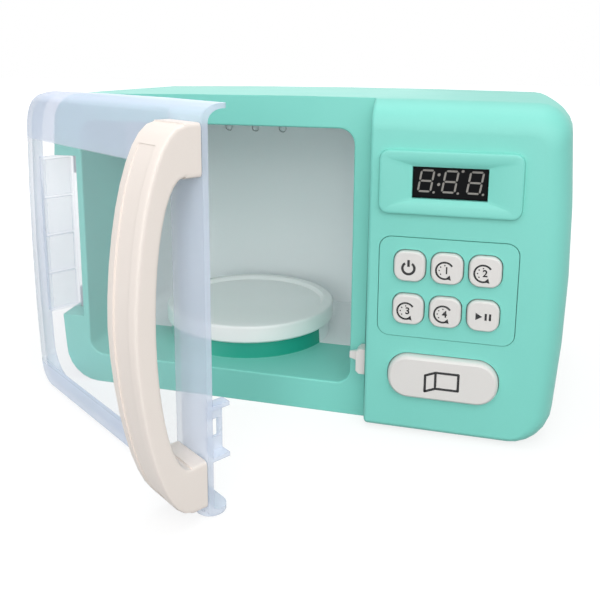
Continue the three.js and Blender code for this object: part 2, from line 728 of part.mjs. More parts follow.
function bezelFrame() {
  const third = BEZEL_EDGE / 3
  const steps = [[BEZEL_PROUD, BEZEL_EDGE], [BEZEL_PROUD - third, third], [0, 0], [-CASE_WALL / 2, 0]]
  return loftY(steps.map(([proud, inset]) => ({
    y: FRONT - proud,
    points: bezelOutline(BEZEL_WIDTH - 2 * inset, BEZEL_HEIGHT - 2 * inset, BEZEL_RADIUS - inset),
  })))
}

function bezelDish() {
  const rim = bezelOutline(BEZEL_WIDTH - 2 * BEZEL_RIM, BEZEL_HEIGHT - 2 * BEZEL_RIM, BEZEL_DISH_RADIUS)
  const foot = bezelOutline(WINDOW_WIDTH + BEZEL_LEDGE, WINDOW_HEIGHT + BEZEL_LEDGE, BEZEL_DISH_RADIUS)
  return loftY([
    { y: FRONT - BEZEL_PROUD - CUT_OVERRUN, points: rim },
    { y: FRONT - BEZEL_PROUD, points: rim },
    { y: FRONT - BEZEL_PROUD + BEZEL_DISH, points: foot },
  ])
}

function windowCut() {
  const across = about(bezelMiddle, WINDOW_WIDTH)
  return block(across, [FRONT - BEZEL_PROUD, PANEL_BACK + CUT_OVERRUN], about(BEZEL_CENTRE, WINDOW_HEIGHT))
}

function keypadRoom() {
  const points = roundedRectangle(KEYPAD_WIDTH, KEYPAD_HEIGHT, KEYPAD_RADIUS, CONTROL_MIDDLE, KEYPAD_CENTRE)
  return prismY(points, FRONT - CUT_OVERRUN, PANEL_BACK + CUT_OVERRUN)
}

function openRoom() {
  const play = 2 * BUTTON_GAP
  const size = [OPEN_WIDTH + play, OPEN_HEIGHT + play, OPEN_RADIUS + BUTTON_GAP]
  const points = roundedRectangle(...size, CONTROL_MIDDLE, OPEN_CENTRE, 2 * CORNER_FACETS)
  return prismY(points, FRONT - CUT_OVERRUN, PANEL_BACK + CUT_OVERRUN)
}

// The pocket in the left front edge that the door's hinge leaf swings in
function hingeNotch() {
  const room = block(
    [-BODY_WIDTH, -FRONT_SIDE + NOTCH_INNER],
    [CAVITY_FACE - CUT_OVERRUN, CAVITY_FACE + NOTCH_DEPTH],
    grown([HINGE_LOW, HINGE_HIGH], NOTCH_END_GAP))
  const radius = HINGE_PIN_RADIUS + HINGE_PIN_CLEARANCE
  const reach = grown([HINGE_LOW, HINGE_HIGH], NOTCH_END_GAP + HINGE_PIN_GRIP + SEAT_GAP)
  return room.add(barZ(radius, HINGE_X, HINGE_Y, reach, SMALL_FACETS))
}

function hingeHousing() {
  return block(
    [-BODY_WIDTH, -FRONT_SIDE + NOTCH_INNER + NOTCH_WALL],
    [CAVITY_FACE, CAVITY_FACE + NOTCH_DEPTH + NOTCH_WALL],
    grown([HINGE_LOW, HINGE_HIGH], NOTCH_END_GAP + NOTCH_LEDGE)).intersect(outerForm)
}

function latchSlot() {
  return block(
    [PANEL_LEFT - CUT_OVERRUN, PANEL_LEFT + CASE_WALL + CUT_OVERRUN / 2],
    grown([latchFront, latchBack], SLOT_CLEARANCE),
    grown([LATCH_BOTTOM, latchTop], SLOT_CLEARANCE))
}

// Ribs on the floor of the front shell carry the latch bar and back both springs.
function latchRibs() {
  const floor = CASE_WALL / 2
  const rail = block([tailEnd + GUIDE_THICKNESS, lugRight], [barFront, barBack], [floor, barLow - SEAT_GAP])
  const stopX = [springStop, springStop + GUIDE_THICKNESS]
  const stop = block(stopX, [lugFront, lugBack], [floor, barHigh + LUG_HEIGHT])
  const wallY = [openSpringWall, openSpringWall + GUIDE_THICKNESS]
  const wall = block(about(openSpringX, 2 * SPRING_SEAT_HALF), wallY, [floor, OPEN_CENTRE + SPRING_SEAT_HALF])
  return joined(rail, stop, wall)
}

function frontShell() {
  const slab = block(wide, [FRONT - CUT_OVERRUN, CASE_SEAM - SEAM_HALF], tall)
  const start = FRONT - CUT_OVERRUN
  const tunnelEnd = TUNNEL_END - SEAM_HALF
  const recess = block([-BODY_WIDTH, PANEL_LEFT], [start, CAVITY_FACE], tall)
  const walls = block([-BODY_WIDTH, PANEL_LEFT + CASE_WALL], [start, CAVITY_FACE + CASE_WALL], tall)
  let shell = less(outerForm.intersect(slab), recess, less(innerForm, walls))
  shell = joined(shell, cavityTube(CAVITY_FACE, tunnelEnd), bezelFrame(), hingeHousing(), latchRibs())
  for (const [x, z] of boardPosts) {
    shell = shell.add(barY(BOARD_POST_RADIUS, x, [PANEL_BACK - CASE_WALL / 2, BOARD_FRONT - SEAT_GAP], z))
  }
  for (const [x, z] of bossPlaces) {
    const postStart = x > 0 ? FRONT + FRONT_ROUND_DEPTH / 3 : CAVITY_FACE + CASE_WALL / 2
    const post = barY(BOSS_RADIUS, x, [postStart, CASE_SEAM - SEAM_HALF], z).intersect(outerForm)
    const pilot = barY(pilotRadius, x, [CASE_SEAM - CASE_SCREW_LENGTH + BOSS_SEAT - SEAT_GAP, CASE_SEAM], z)
    shell = less(shell.add(post), pilot)
  }
  shell = less(shell, cavityRoom(CAVITY_FACE - CUT_OVERRUN, TUNNEL_END))
  const tunnel = block(wide, [FRONT, tunnelEnd], tall)
  shell = shell.add(drum(0, OPENING_FLOOR - LINER_WALL, DRUM_TOP).intersect(tunnel))
  shell = less(shell, drumHollow(), bezelDish(), windowCut(), keypadRoom())
  return less(shell, openRoom(), hingeNotch(), latchSlot())
}

// The battery bay, its lid and the lid's screw ear share these spans.
const cellWhole = CELL_LENGTH + CELL_TIP_LENGTH
const bayX = about(BATTERY_MIDDLE_X, cellWhole + 2 * (BATTERY_ROOM + CONTACT_THICKNESS))
const bayZ = about(BATTERY_MIDDLE_Z, (CELL_COUNT - 1) * CELL_PITCH + 2 * (CELL_RADIUS + BATTERY_ROOM))
const shellBack = BACK - CASE_WALL
const bayFront = shellBack - BATTERY_BAY_DEPTH
const lidScrewZ = bayZ[1] + BATTERY_LID_LIP + SCREW_HEAD_RADIUS
const lidEarRadius = SCREW_HEAD_RADIUS + BATTERY_LID_LIP
const speakerZ = (lidScrewZ + lidEarRadius + BODY_HEIGHT) / 2 - SPEAKER_BELOW_MIDDLE
const lidY = [shellBack + SEAT_GAP, shellBack + SEAT_GAP + BATTERY_LID_THICKNESS]
const lidScrewSeat = lidY[1] - LID_SCREW_RECESS + SEAT_GAP

function rearShell() {
  const slab = block(wide, [CASE_SEAM + SEAM_HALF, BACK + CUT_OVERRUN], tall)
  let shell = less(outerForm.intersect(slab), innerForm)
  for (const [x, z] of bossPlaces) {
    const tube = barY(BOSS_TUBE_RADIUS, x, [CASE_SEAM + SEAM_HALF, BACK], z).intersect(outerForm)
    const seat = CASE_SEAM + BOSS_SEAT
    const bore = barY(BOSS_TUBE_BORE, x, [seat, BACK + CUT_OVERRUN], z)
    const hole = barY(pilotRadius, x, [CASE_SEAM, seat + CUT_OVERRUN], z)
    shell = less(shell.add(tube), bore, hole)
  }
  for (const side of [-1, 1]) {
    const across = about(OPENING_MIDDLE + side * (bedReach + CRADLE_RIB_FROM_MOUNT), CRADLE_RIB)
    const up = [CASE_WALL / 2, OPENING_FLOOR - LINER_WALL - SEAT_GAP]
    shell = shell.add(block(across, [TUNNEL_END, CAVITY_BACK], up))
  }
  const ringY = [shellBack - SPEAKER_RING_DEPTH, BACK - CASE_WALL / 2]
  const seatY = [shellBack - SPEAKER_DEPTH, shellBack]
  const ring = barY(SPEAKER_RADIUS + SEAT_GAP + SPEAKER_RING, SPEAKER_X, ringY, speakerZ, ROUND_FACETS)
  shell = less(shell.add(ring), barY(SPEAKER_RADIUS + SEAT_GAP, SPEAKER_X, seatY, speakerZ, ROUND_FACETS))
  for (let k = 0; k < GRILLE_SLOTS; k++) {
    const z = speakerZ + (k - (GRILLE_SLOTS - 1) / 2) * GRILLE_PITCH
    const points = roundedRectangle(GRILLE_LENGTH, GRILLE_SLOT_WIDTH, GRILLE_SLOT_WIDTH / 2, SPEAKER_X, z, 2)
    shell = less(shell, prismY(points, shellBack - CUT_OVERRUN, BACK + CUT_OVERRUN))
  }
  return less(shell.add(batteryBox()), batteryRooms())
}

function batteryBox() {
  const y = [bayFront - BATTERY_LID_THICKNESS, BACK - CASE_WALL / 2]
  const box = block(grown(bayX, BATTERY_WALL), y, grown(bayZ, BATTERY_WALL))
  return box.add(barY(lidEarRadius + BATTERY_WALL / 2, BATTERY_MIDDLE_X, y, lidScrewZ, ROUND_FACETS))
}

function batteryRooms() {
  const open = [shellBack, BACK + CUT_OVERRUN]
  const bay = block(bayX, [bayFront, BACK + CUT_OVERRUN], bayZ)
  const lid = block(grown(bayX, BATTERY_LID_LIP), open, grown(bayZ, BATTERY_LID_LIP))
  const ear = barY(lidEarRadius, BATTERY_MIDDLE_X, open, lidScrewZ, ROUND_FACETS)
  const pilot = barY(pilotRadius, BATTERY_MIDDLE_X, [shellBack - BATTERY_SCREW_LENGTH, BACK], lidScrewZ)
  return joined(bay, lid, ear, pilot)
}

function batteryLid() {
  const lip = BATTERY_LID_LIP - SEAT_GAP
  const plate = block(grown(bayX, lip), lidY, grown(bayZ, lip))
  const ear = barY(lidEarRadius - SEAT_GAP, BATTERY_MIDDLE_X, lidY, lidScrewZ, ROUND_FACETS)
  const hole = barY(pilotRadius, BATTERY_MIDDLE_X, grown(lidY, CUT_OVERRUN), lidScrewZ)
  const sink = barY(SCREW_HEAD_RADIUS + SCREW_CLEARANCE, BATTERY_MIDDLE_X,
    [lidY[1] - LID_SCREW_RECESS, lidY[1] + CUT_OVERRUN], lidScrewZ)
  return less(plate.add(ear), hole, sink)
}

// Neighbouring cells face opposite ways.
function batteryCell(index) {
  const z = BATTERY_MIDDLE_Z + (index - (CELL_COUNT - 1) / 2) * CELL_PITCH
  const y = bayFront + SEAT_GAP + CELL_RADIUS
  const facing = index % 2 === 0 ? 1 : -1
  const flat = BATTERY_MIDDLE_X - facing * cellWhole / 2
  const shoulder = flat + facing * CELL_LENGTH
  const sleeve = barX(CELL_RADIUS, ordered(flat, shoulder), y, z, ROUND_FACETS)
  const tip = ordered(shoulder - facing * CELL_TIP_LENGTH, shoulder + facing * CELL_TIP_LENGTH)
  return sleeve.add(barX(CELL_TIP_RADIUS, tip, y, z))
}

function batteryContact(side) {
  const edge = side < 0 ? bayX[0] : bayX[1]
  const spanX = ordered(edge - side * SEAT_GAP, edge - side * (SEAT_GAP + CONTACT_THICKNESS))
  const middle = bayFront + SEAT_GAP + CELL_RADIUS
  return block(spanX, about(middle, CONTACT_WIDTH), grown(bayZ, -BATTERY_ROOM))
}

function speakerUnit() {
  const back = shellBack - SEAT_GAP
  const frameY = [back - SPEAKER_FRAME_DEPTH, back]
  const magnetY = [back - SPEAKER_DEPTH, back - SPEAKER_FRAME_DEPTH / 2]
  const frame = barY(SPEAKER_RADIUS, SPEAKER_X, frameY, speakerZ, ROUND_FACETS)
  const magnet = barY(SPEAKER_MAGNET_RADIUS, SPEAKER_X, magnetY, speakerZ, ROUND_FACETS)
  const depth = SPEAKER_FRAME_DEPTH / 2
  const mouth = SPEAKER_RADIUS - SPEAKER_RING
  const profile = [
    [0, depth], [SPEAKER_MAGNET_RADIUS / 2, depth], [mouth, 0], [mouth, -CUT_OVERRUN], [0, -CUT_OVERRUN],
  ]
  const cone = spun(profile, 0, 0, ROUND_FACETS).rotate([QUARTER_TURN, 0, 0])
  return less(frame.add(magnet), cone.translate([SPEAKER_X, back, speakerZ]))
}

// The cavity lamps stand in a row on a narrow board behind the back wall.
const lampZ = OPENING_ROOF - LAMP_BELOW_ROOF
const lampMiddle = OPENING_MIDDLE - LAMP_FROM_CENTRE
const lampPlaces = [-1, 0, 1].map(k => lampMiddle + k * LAMP_PITCH)
const lampBoardFront = CAVITY_BACK - LAMP_PROUD + LAMP_LENGTH + SEAT_GAP

function cavityLiner() {
  const start = TUNNEL_END + SEAM_HALF
  const behind = block(wide, [start, CAVITY_BACK], tall)
  let liner = less(cavityTube(start, CAVITY_BACK + LINER_WALL), cavityRoom(TUNNEL_END, CAVITY_BACK))
  liner = liner.add(drum(0, OPENING_FLOOR - LINER_WALL, DRUM_TOP).intersect(behind))
  const shaftHole = barZ(SHAFT_HOLE_RADIUS, TABLE_X, TABLE_Y, [OPENING_FLOOR, DRUM_TOP + CUT_OVERRUN])
  liner = less(liner, drumHollow(), shaftHole)
  for (const x of lampPlaces) {
    const y = [CAVITY_BACK - CUT_OVERRUN, CAVITY_BACK + LINER_WALL + CUT_OVERRUN]
    liner = less(liner, barY(LAMP_RADIUS + LAMP_HOLE_CLEARANCE, x, y, lampZ))
  }
  for (const side of [-1, 1]) {
    const y = [CAVITY_BACK + LINER_WALL / 2, lampBoardFront - SEAT_GAP]
    liner = liner.add(barY(LAMP_POST_RADIUS, lampMiddle + side * LAMP_PITCH / 2, y, lampZ))
  }
  return liner
}

function cavityLamp(x) {
  const front = CAVITY_BACK - LAMP_PROUD
  const rings = []
  for (let k = 1; k <= ROUND_STEPS; k++) {
    const angle = k / ROUND_STEPS * Math.PI / 2
    const y = front + LAMP_RADIUS * (1 - Math.cos(angle))
    rings.push({ y, points: circle(LAMP_RADIUS * Math.sin(angle), x, lampZ, SMALL_FACETS) })
  }
  rings.push({ y: front + LAMP_LENGTH, points: circle(LAMP_RADIUS, x, lampZ, SMALL_FACETS) })
  return loftY(rings)
}

function lampBoard() {
  const across = about(lampMiddle, 2 * (LAMP_PITCH + LAMP_BOARD_MARGIN))
  const y = [lampBoardFront, lampBoardFront + LAMP_BOARD_THICKNESS]
  return block(across, y, about(lampZ, LAMP_BOARD_HEIGHT))
}

// Heights of the turntable drive, from the floor of the case upwards
const plateFloorLow = PLATE_TOP - PLATE_DISH - PLATE_FLOOR
const hubLow = DRUM_TOP + SEAT_GAP
const shaftBore = SHAFT_RADIUS + SHAFT_BORE_CLEARANCE
const bedLow = CASE_WALL + SEAT_GAP
const bedTop = bedLow + MOTOR_BED_THICKNESS
const bearingTop = bedTop + BEARING_HEIGHT
const motorBottom = bedTop + SEAT_GAP
const motorTop = motorBottom + MOTOR_HEIGHT
const gearLow = motorTop + SEAT_GAP
const gearHigh = gearLow + GEAR_WIDTH
const gearCentres = GEAR_DIAMETER_PER_TOOTH * (DRIVE_GEAR_TEETH + PINION_TEETH) / 2
const motorX = TABLE_X - gearCentres
const bedReach = gearCentres + MOTOR_RADIUS + MOTOR_BED_MARGIN

// The plate is a dished disc with a rounded rim, hollow below, with a hub for the shaft.
function turntablePlate() {
  const floorTop = PLATE_TOP - PLATE_DISH
  const rim = PLATE_RADIUS - PLATE_RIM_WIDTH
  const edge = PLATE_RIM_WIDTH / 4
  const dimple = floorTop - PLATE_DIMPLE_DEPTH
  const profile = [
    [0, dimple], [PLATE_DIMPLE_RADIUS / 2, dimple], [PLATE_DIMPLE_RADIUS, floorTop], [rim, floorTop],
    [rim + edge / 2, PLATE_TOP - edge / 2], [rim + edge, PLATE_TOP], [PLATE_RADIUS - edge, PLATE_TOP],
    [PLATE_RADIUS - edge / 3, PLATE_TOP - edge / 3], [PLATE_RADIUS, PLATE_TOP - edge],
    [PLATE_RADIUS, PLATE_BOTTOM + edge / 2], [PLATE_RADIUS - edge / 2, PLATE_BOTTOM],
    [PLATE_RADIUS - PLATE_WALL, PLATE_BOTTOM], [PLATE_RADIUS - PLATE_WALL, plateFloorLow],
    [HUB_RADIUS, plateFloorLow], [HUB_RADIUS, hubLow], [shaftBore, hubLow], [shaftBore, plateFloorLow],
    [0, plateFloorLow],
  ]
  return spun(profile, TABLE_X, TABLE_Y, DRUM_FACETS)
}

function turntableShaft() {
  const start = bedTop + SEAT_GAP
  const profile = [
    [0, start], [SHAFT_RADIUS, start], [SHAFT_RADIUS, bearingTop + SEAT_GAP],
    [SHAFT_COLLAR_RADIUS, bearingTop + SEAT_GAP], [SHAFT_COLLAR_RADIUS, gearLow - SEAT_GAP],
    [SHAFT_RADIUS, gearLow - SEAT_GAP], [SHAFT_RADIUS, plateFloorLow - SEAT_GAP],
    [0, plateFloorLow - SEAT_GAP],
  ]
  return spun(profile, TABLE_X, TABLE_Y, ROUND_FACETS)
}

// A spur gear: each tooth has two points on the root circle and two on the tip circle.
function spurGear(teeth, x, bore, turn) {
  const pitch = GEAR_DIAMETER_PER_TOOTH * teeth / 2
  const tip = pitch + GEAR_DIAMETER_PER_TOOTH * TOOTH_TIP_SHARE
  const root = pitch - GEAR_DIAMETER_PER_TOOTH * TOOTH_ROOT_SHARE
  const step = 2 * Math.PI / teeth
  const points = []
  for (let k = 0; k < teeth; k++) {
    const middle = turn + k * step
    points.push(polar(x, TABLE_Y, root, middle - ROOT_WIDTH_SHARE * step / 2))
    points.push(polar(x, TABLE_Y, tip, middle - TIP_WIDTH_SHARE * step / 2))
    points.push(polar(x, TABLE_Y, tip, middle + TIP_WIDTH_SHARE * step / 2))
    points.push(polar(x, TABLE_Y, root, middle + ROOT_WIDTH_SHARE * step / 2))
  }
  const through = barZ(bore, x, TABLE_Y, grown([gearLow, gearHigh], CUT_OVERRUN), SMALL_FACETS)
  return less(prismZ(points, gearLow, gearHigh), through)
}

function turntableMotor() {
  const can = barZ(MOTOR_RADIUS, motorX, TABLE_Y, [motorBottom, motorTop])
  const shaftZ = [motorTop - MOTOR_SHAFT_RADIUS, gearHigh]
  return can.add(barZ(MOTOR_SHAFT_RADIUS, motorX, TABLE_Y, shaftZ, SMALL_FACETS))
}

function motorBed() {
  const half = MOTOR_RADIUS + MOTOR_BED_MARGIN
  const across = [motorX - half, TABLE_X + SHAFT_COLLAR_RADIUS + MOTOR_BED_MARGIN]
  const low = bedTop - MOTOR_BED_THICKNESS / 2
  const plate = block(across, about(TABLE_Y, 2 * half), [bedLow, bedTop])
  const bearing = barZ(SHAFT_RADIUS + BEARING_WALL, TABLE_X, TABLE_Y, [low, bearingTop])
  const cupTop = bedTop + MOTOR_CUP_HEIGHT
  const cup = barZ(MOTOR_RADIUS + SEAT_GAP + BEARING_WALL / 2, motorX, TABLE_Y, [low, cupTop])
  const bore = barZ(shaftBore, TABLE_X, TABLE_Y, [bedTop, bearingTop + CUT_OVERRUN])
  const nest = barZ(MOTOR_RADIUS + SEAT_GAP, motorX, TABLE_Y, [bedTop, cupTop + CUT_OVERRUN])
  return less(joined(plate, bearing, cup), bore, nest)
}

// A cap with a domed front edge
function domedCap([width, height, radius], x, z, [face, back], edge, facets) {
  const rings = DOME_SHARES.map(([depthShare, insetShare]) => {
    const inset = edge * insetShare
    return {
      y: face + 2 * edge * depthShare,
      points: roundedRectangle(width - 2 * inset, height - 2 * inset, radius - inset, x, z, facets),
    }
  })
  rings.push({ y: back, points: roundedRectangle(width, height, radius, x, z, facets) })
  return loftY(rings)
}

function keypadPlate() {
  const play = 2 * SEAT_GAP
  const lip = 2 * FLANGE_LIP
  const place = [CONTROL_MIDDLE, KEYPAD_CENTRE]
  const size = [KEYPAD_WIDTH - play, KEYPAD_HEIGHT - play, KEYPAD_RADIUS - SEAT_GAP]
  const inner = roundedRectangle(...size, ...place)
  const outer = roundedRectangle(KEYPAD_WIDTH + lip, KEYPAD_HEIGHT + lip, KEYPAD_RADIUS, ...place)
  const flange = prismY(outer, PANEL_BACK + SEAT_GAP, keypadBack)
  let plate = prismY(inner, FRONT - KEYPAD_PROUD, keypadBack).add(flange)
  for (const [x, z] of keyPlaces) {
    const hole = BUTTON_SIZE + 2 * BUTTON_GAP
    const points = roundedRectangle(hole, hole, BUTTON_RADIUS + BUTTON_GAP, x, z)
    plate = less(plate, prismY(points, FRONT - CUT_OVERRUN, keypadBack + CUT_OVERRUN))
  }
  return plate
}

function pushButton([x, z]) {
  const face = FRONT - KEYPAD_PROUD - BUTTON_PROUD
  const size = BUTTON_SIZE + 2 * (BUTTON_GAP + BUTTON_LIP)
  const outline = [BUTTON_SIZE, BUTTON_SIZE, BUTTON_RADIUS]
  const cap = domedCap(outline, x, z, [face, keyFlangeBack], BUTTON_EDGE, CORNER_FACETS)
  const flange = prismY(roundedRectangle(size, size, BUTTON_RADIUS, x, z, 2), keyFlangeFront, keyFlangeBack)
  const stem = barY(BUTTON_STEM_RADIUS, x, [keyFlangeBack - FLANGE_THICKNESS / 2, stemEnd], z)
  return joined(cap, flange, stem)
}

function keySwitch([x, z]) {
  const body = block(about(x, SWITCH_SIZE), [switchFront, switchBack], about(z, SWITCH_SIZE))
  return body.add(barY(SWITCH_PLUNGER_RADIUS, x, [plungerFront, switchFront + SWITCH_HEIGHT / 2], z))
}

function controlBoard() {
  return block(boardX, [BOARD_FRONT, BOARD_FRONT + BOARD_THICKNESS], [BOARD_BOTTOM, BOARD_TOP])
}

function displayModule() {
  const across = grown(about(bezelMiddle, WINDOW_WIDTH), -SEAT_GAP)
  const up = grown(about(BEZEL_CENTRE, WINDOW_HEIGHT), -SEAT_GAP)
  return block(across, [FRONT + DISPLAY_RECESS, BOARD_FRONT - SEAT_GAP], up)
}

// The big button: a domed cap, a flange behind the panel, a wedge for the latch and a spring post
function openButton() {
  const lip = 2 * (BUTTON_GAP + OPEN_LIP)
  const outline = [OPEN_WIDTH, OPEN_HEIGHT, OPEN_RADIUS]
  const depth = [FRONT - OPEN_PROUD, openFlangeBack]
  const cap = domedCap(outline, CONTROL_MIDDLE, OPEN_CENTRE, depth, OPEN_EDGE, 2 * CORNER_FACETS)
  const brim = roundedRectangle(OPEN_WIDTH + lip, OPEN_HEIGHT + lip, OPEN_RADIUS, CONTROL_MIDDLE, OPEN_CENTRE)
  const flange = prismY(brim, openFlangeFront, openFlangeBack)
  const inside = openFlangeBack - FLANGE_THICKNESS / 2
  const wedgeRight = wedgeLeft + wedgeRun
  const slope = [
    point(wedgeLeft, inside), point(wedgeRight, inside), point(wedgeRight, openFlangeBack),
    point(wedgeLeft, openFlangeBack + WEDGE_REACH),
  ]
  const wedgeLow = barHigh + WEDGE_OVER_BAR
  const wedge = prismZ(slope, wedgeLow, wedgeLow + WEDGE_HEIGHT)
  const postRadius = OPEN_SPRING_RADIUS - SPRING_WIRE_RADIUS - SPRING_POST_CLEARANCE
  const post = barY(postRadius, openSpringX, [inside, openPressed], OPEN_CENTRE)
  return joined(cap, flange, wedge, post)
}

// The latch: a rounded block with a nub, a bar along the panel and a lug that the wedge pushes
function latchSlider() {
  const corner = LATCH_CORNER
  const face = [
    point(latchLeft, LATCH_BOTTOM + corner), point(latchLeft + corner, LATCH_BOTTOM),
    point(tailEnd, LATCH_BOTTOM), point(tailEnd, latchTop),
    point(latchLeft + corner, latchTop), point(latchLeft, latchTop - corner),
  ]
  const body = prismY(face, latchFront, latchBack)
  const bar = block([tailEnd - LATCH_CORNER, lugRight], [barFront, barBack], [barLow, barHigh])
  const clearance = SEAT_GAP * Math.hypot(1, wedgeSlope)
  const slopeY = x => openFlangeBack + WEDGE_REACH - (x - wedgeLeft) * wedgeSlope + clearance
  const slopeEnd = wedgeLeft + (openFlangeBack + WEDGE_REACH + clearance - lugFront) / wedgeSlope
  const lugPoints = [
    point(lugLeft, slopeY(lugLeft)), point(slopeEnd, lugFront), point(lugRight, lugFront),
    point(lugRight, lugBack), point(lugLeft, lugBack),
  ]
  const lug = prismZ(lugPoints, barHigh - LATCH_CORNER, barHigh + LUG_HEIGHT)
  return joined(body, bar, lug, latchNub())
}

// The nub tapers towards its tip, so the door's catch can push it in.
function latchNub() {
  const tip = roundedRectangle(NUB_TIP_THICKNESS, NUB_TIP_HEIGHT, NUB_TIP_THICKNESS / 4, 0, 0, 2)
  const base = roundedRectangle(NUB_THICKNESS, NUB_HEIGHT, NUB_TIP_THICKNESS / 4, 0, 0, 2)
  const nub = loftY([
    { y: 0, points: tip },
    { y: NUB_REACH, points: base },
    { y: NUB_REACH + LATCH_CORNER, points: base },
  ])
  const middleY = FRONT + NUB_BEHIND_FRONT + NUB_THICKNESS / 2
  const place = [latchLeft - NUB_REACH, middleY, NUB_BOTTOM + NUB_HEIGHT / 2]
  return nub.rotate([0, 0, -QUARTER_TURN]).translate(place)
}

// A coil spring as one unbroken tube; the placing function turns it along its axis.
function coilSpring(radius, turns, length, placed) {
  class Coil extends THREE.Curve {
    getPoint(t, target = new THREE.Vector3()) {
      const angle = t * turns * 2 * Math.PI
      return target.copy(placed(radius * Math.cos(angle), radius * Math.sin(angle), t * length))
    }
  }
  const section = new THREE.Shape(circle(SPRING_WIRE_RADIUS, 0, 0, SPRING_SIDES))
  const steps = turns * SPRING_STEPS_PER_TURN
  return solidOf(new THREE.ExtrudeGeometry(section, { steps, extrudePath: new Coil(), bevelEnabled: false }))
}

function latchSpring() {
  const start = springStop - SEAT_GAP + SPRING_WIRE_RADIUS - LATCH_SPRING_LENGTH
  const y = (lugFront + lugBack) / 2
  return coilSpring(LATCH_SPRING_RADIUS, LATCH_SPRING_TURNS, LATCH_SPRING_LENGTH - 2 * SPRING_WIRE_RADIUS,
    (a, b, along) => new THREE.Vector3(start + along, y + a, lugMiddleZ + b))
}

function openSpring() {
  const start = openSpringWall - SEAT_GAP + SPRING_WIRE_RADIUS - OPEN_SPRING_LENGTH
  return coilSpring(OPEN_SPRING_RADIUS, OPEN_SPRING_TURNS, OPEN_SPRING_LENGTH - 2 * SPRING_WIRE_RADIUS,
    (a, b, along) => new THREE.Vector3(openSpringX + a, start + along, OPEN_CENTRE + b))
}

// The door and its fittings are drawn as if the door were shut.
const doorBack = FRONT + DOOR_FLANGE
const doorPlateBack = FRONT + DOOR_WALL
const handleX = [DOOR_RIGHT - HANDLE_FROM_EDGE - HANDLE_WIDTH, DOOR_RIGHT - HANDLE_FROM_EDGE]
const handleMiddle = (handleX[0] + handleX[1]) / 2
const handleSeat = FRONT - DOOR_BAND_PROUD - SEAT_GAP
const handleScrewZ = [HANDLE_CENTRE - HANDLE_SCREW_OFFSET, HANDLE_CENTRE + HANDLE_SCREW_OFFSET]

// A clear tray like the case's front, open along its free edge, with a round foot under that edge
function doorShell() {
  const outer = caseForm(0, doorFace)
  const depth = [FRONT - CUT_OVERRUN, doorBack]
  const span = block([-BODY_WIDTH, DOOR_RIGHT], depth, tall)
  const bandSpan = block([handleX[0], DOOR_RIGHT], depth, tall)
  const band = outer.translate([0, -DOOR_BAND_PROUD, 0]).intersect(bandSpan)
  let tray = less(outer.intersect(span).add(band), caseForm(DOOR_WALL, doorFace))
  tray = less(tray, flangeCorner(DOOR_CORNER_RADIUS, [HANDLE_CENTRE, tall[1]]))
  tray = less(tray, flangeCorner(DOOR_FOOT_RADIUS, [tall[0], HANDLE_CENTRE]))
  const footX = DOOR_RIGHT - DOOR_FOOT_RADIUS
  const footZ = [DOOR_LIFT, DOOR_LIFT + DOOR_WALL]
  tray = tray.add(barZ(DOOR_FOOT_RADIUS, footX, doorBack - DOOR_FOOT_RADIUS, footZ))
  tray = joined(tray, catchHousing(), hingeLeaf())
  for (const z of handleScrewZ) {
    tray = less(tray, barY(pilotRadius, handleMiddle, [FRONT - CUT_OVERRUN, doorPlateBack + CUT_OVERRUN], z))
  }
  return less(tray, hingeBores())
}

// What a rounded corner takes off the rear edge of the flange at the door's free end
function flangeCorner(radius, z) {
  const x = DOOR_RIGHT - radius
  const y = doorBack - radius
  const square = block([x, DOOR_RIGHT + CUT_OVERRUN], [y, doorBack + CUT_OVERRUN], z)
  return less(square, barZ(radius, x, y, z))
}

// The catch: a small box behind the free edge whose inner wall hooks behind the nub
function catchHousing() {
  const left = DOOR_RIGHT - CATCH_DEPTH
  const inside = left + CATCH_WALL
  const back = FRONT + CATCH_REACH
  const nubBack = FRONT + NUB_BEHIND_FRONT + NUB_THICKNESS
  const outline = [
    point(left, CATCH_BOTTOM + CATCH_CHAMFER), point(left + CATCH_CHAMFER, CATCH_BOTTOM),
    point(DOOR_RIGHT, CATCH_BOTTOM), point(DOOR_RIGHT, CATCH_TOP),
    point(left + CATCH_CHAMFER, CATCH_TOP), point(left, CATCH_TOP - CATCH_CHAMFER),
  ]
  const box = prismY(outline, doorPlateBack - DOOR_WALL / 2, back)
  const roomZ = grown([CATCH_BOTTOM, CATCH_TOP], -CATCH_WALL)
  const room = block([inside, DOOR_RIGHT + CUT_OVERRUN], [doorPlateBack, back + CUT_OVERRUN], roomZ)
  const windowX = [left - CUT_OVERRUN, inside + CUT_OVERRUN]
  const windowZ = grown([NUB_BOTTOM, NUB_BOTTOM + NUB_HEIGHT], NUB_WINDOW_CLEARANCE)
  const nubWindow = block(windowX, [doorPlateBack, nubBack + NUB_HOOK_CLEARANCE], windowZ)
  return less(box, room, nubWindow)
}

// The hinge leaf carries the door's side back to a ribbed barrel on the hinge line.
function hingeLeaf() {
  const y = [doorBack - DOOR_WALL, HINGE_Y]
  const span = block([-BODY_WIDTH, HINGE_X], y, [HINGE_LOW, HINGE_HIGH])
  let leaf = less(outerForm, caseForm(HINGE_ARM)).intersect(span)
  leaf = leaf.add(barZ(HINGE_BARREL_RADIUS, HINGE_X, HINGE_Y, [HINGE_LOW, HINGE_HIGH]))
  const solidSide = caseForm(HINGE_ARM / 2)
  for (let k = 0; k < HINGE_RIBS; k++) {
    const low = HINGE_LOW + k / (HINGE_RIBS - 1) * (HINGE_HIGH - HINGE_LOW - HINGE_RIB)
    leaf = leaf.add(block([-BODY_WIDTH, HINGE_X + HINGE_ARM], y, [low, low + HINGE_RIB]).intersect(solidSide))
  }
  return leaf
}

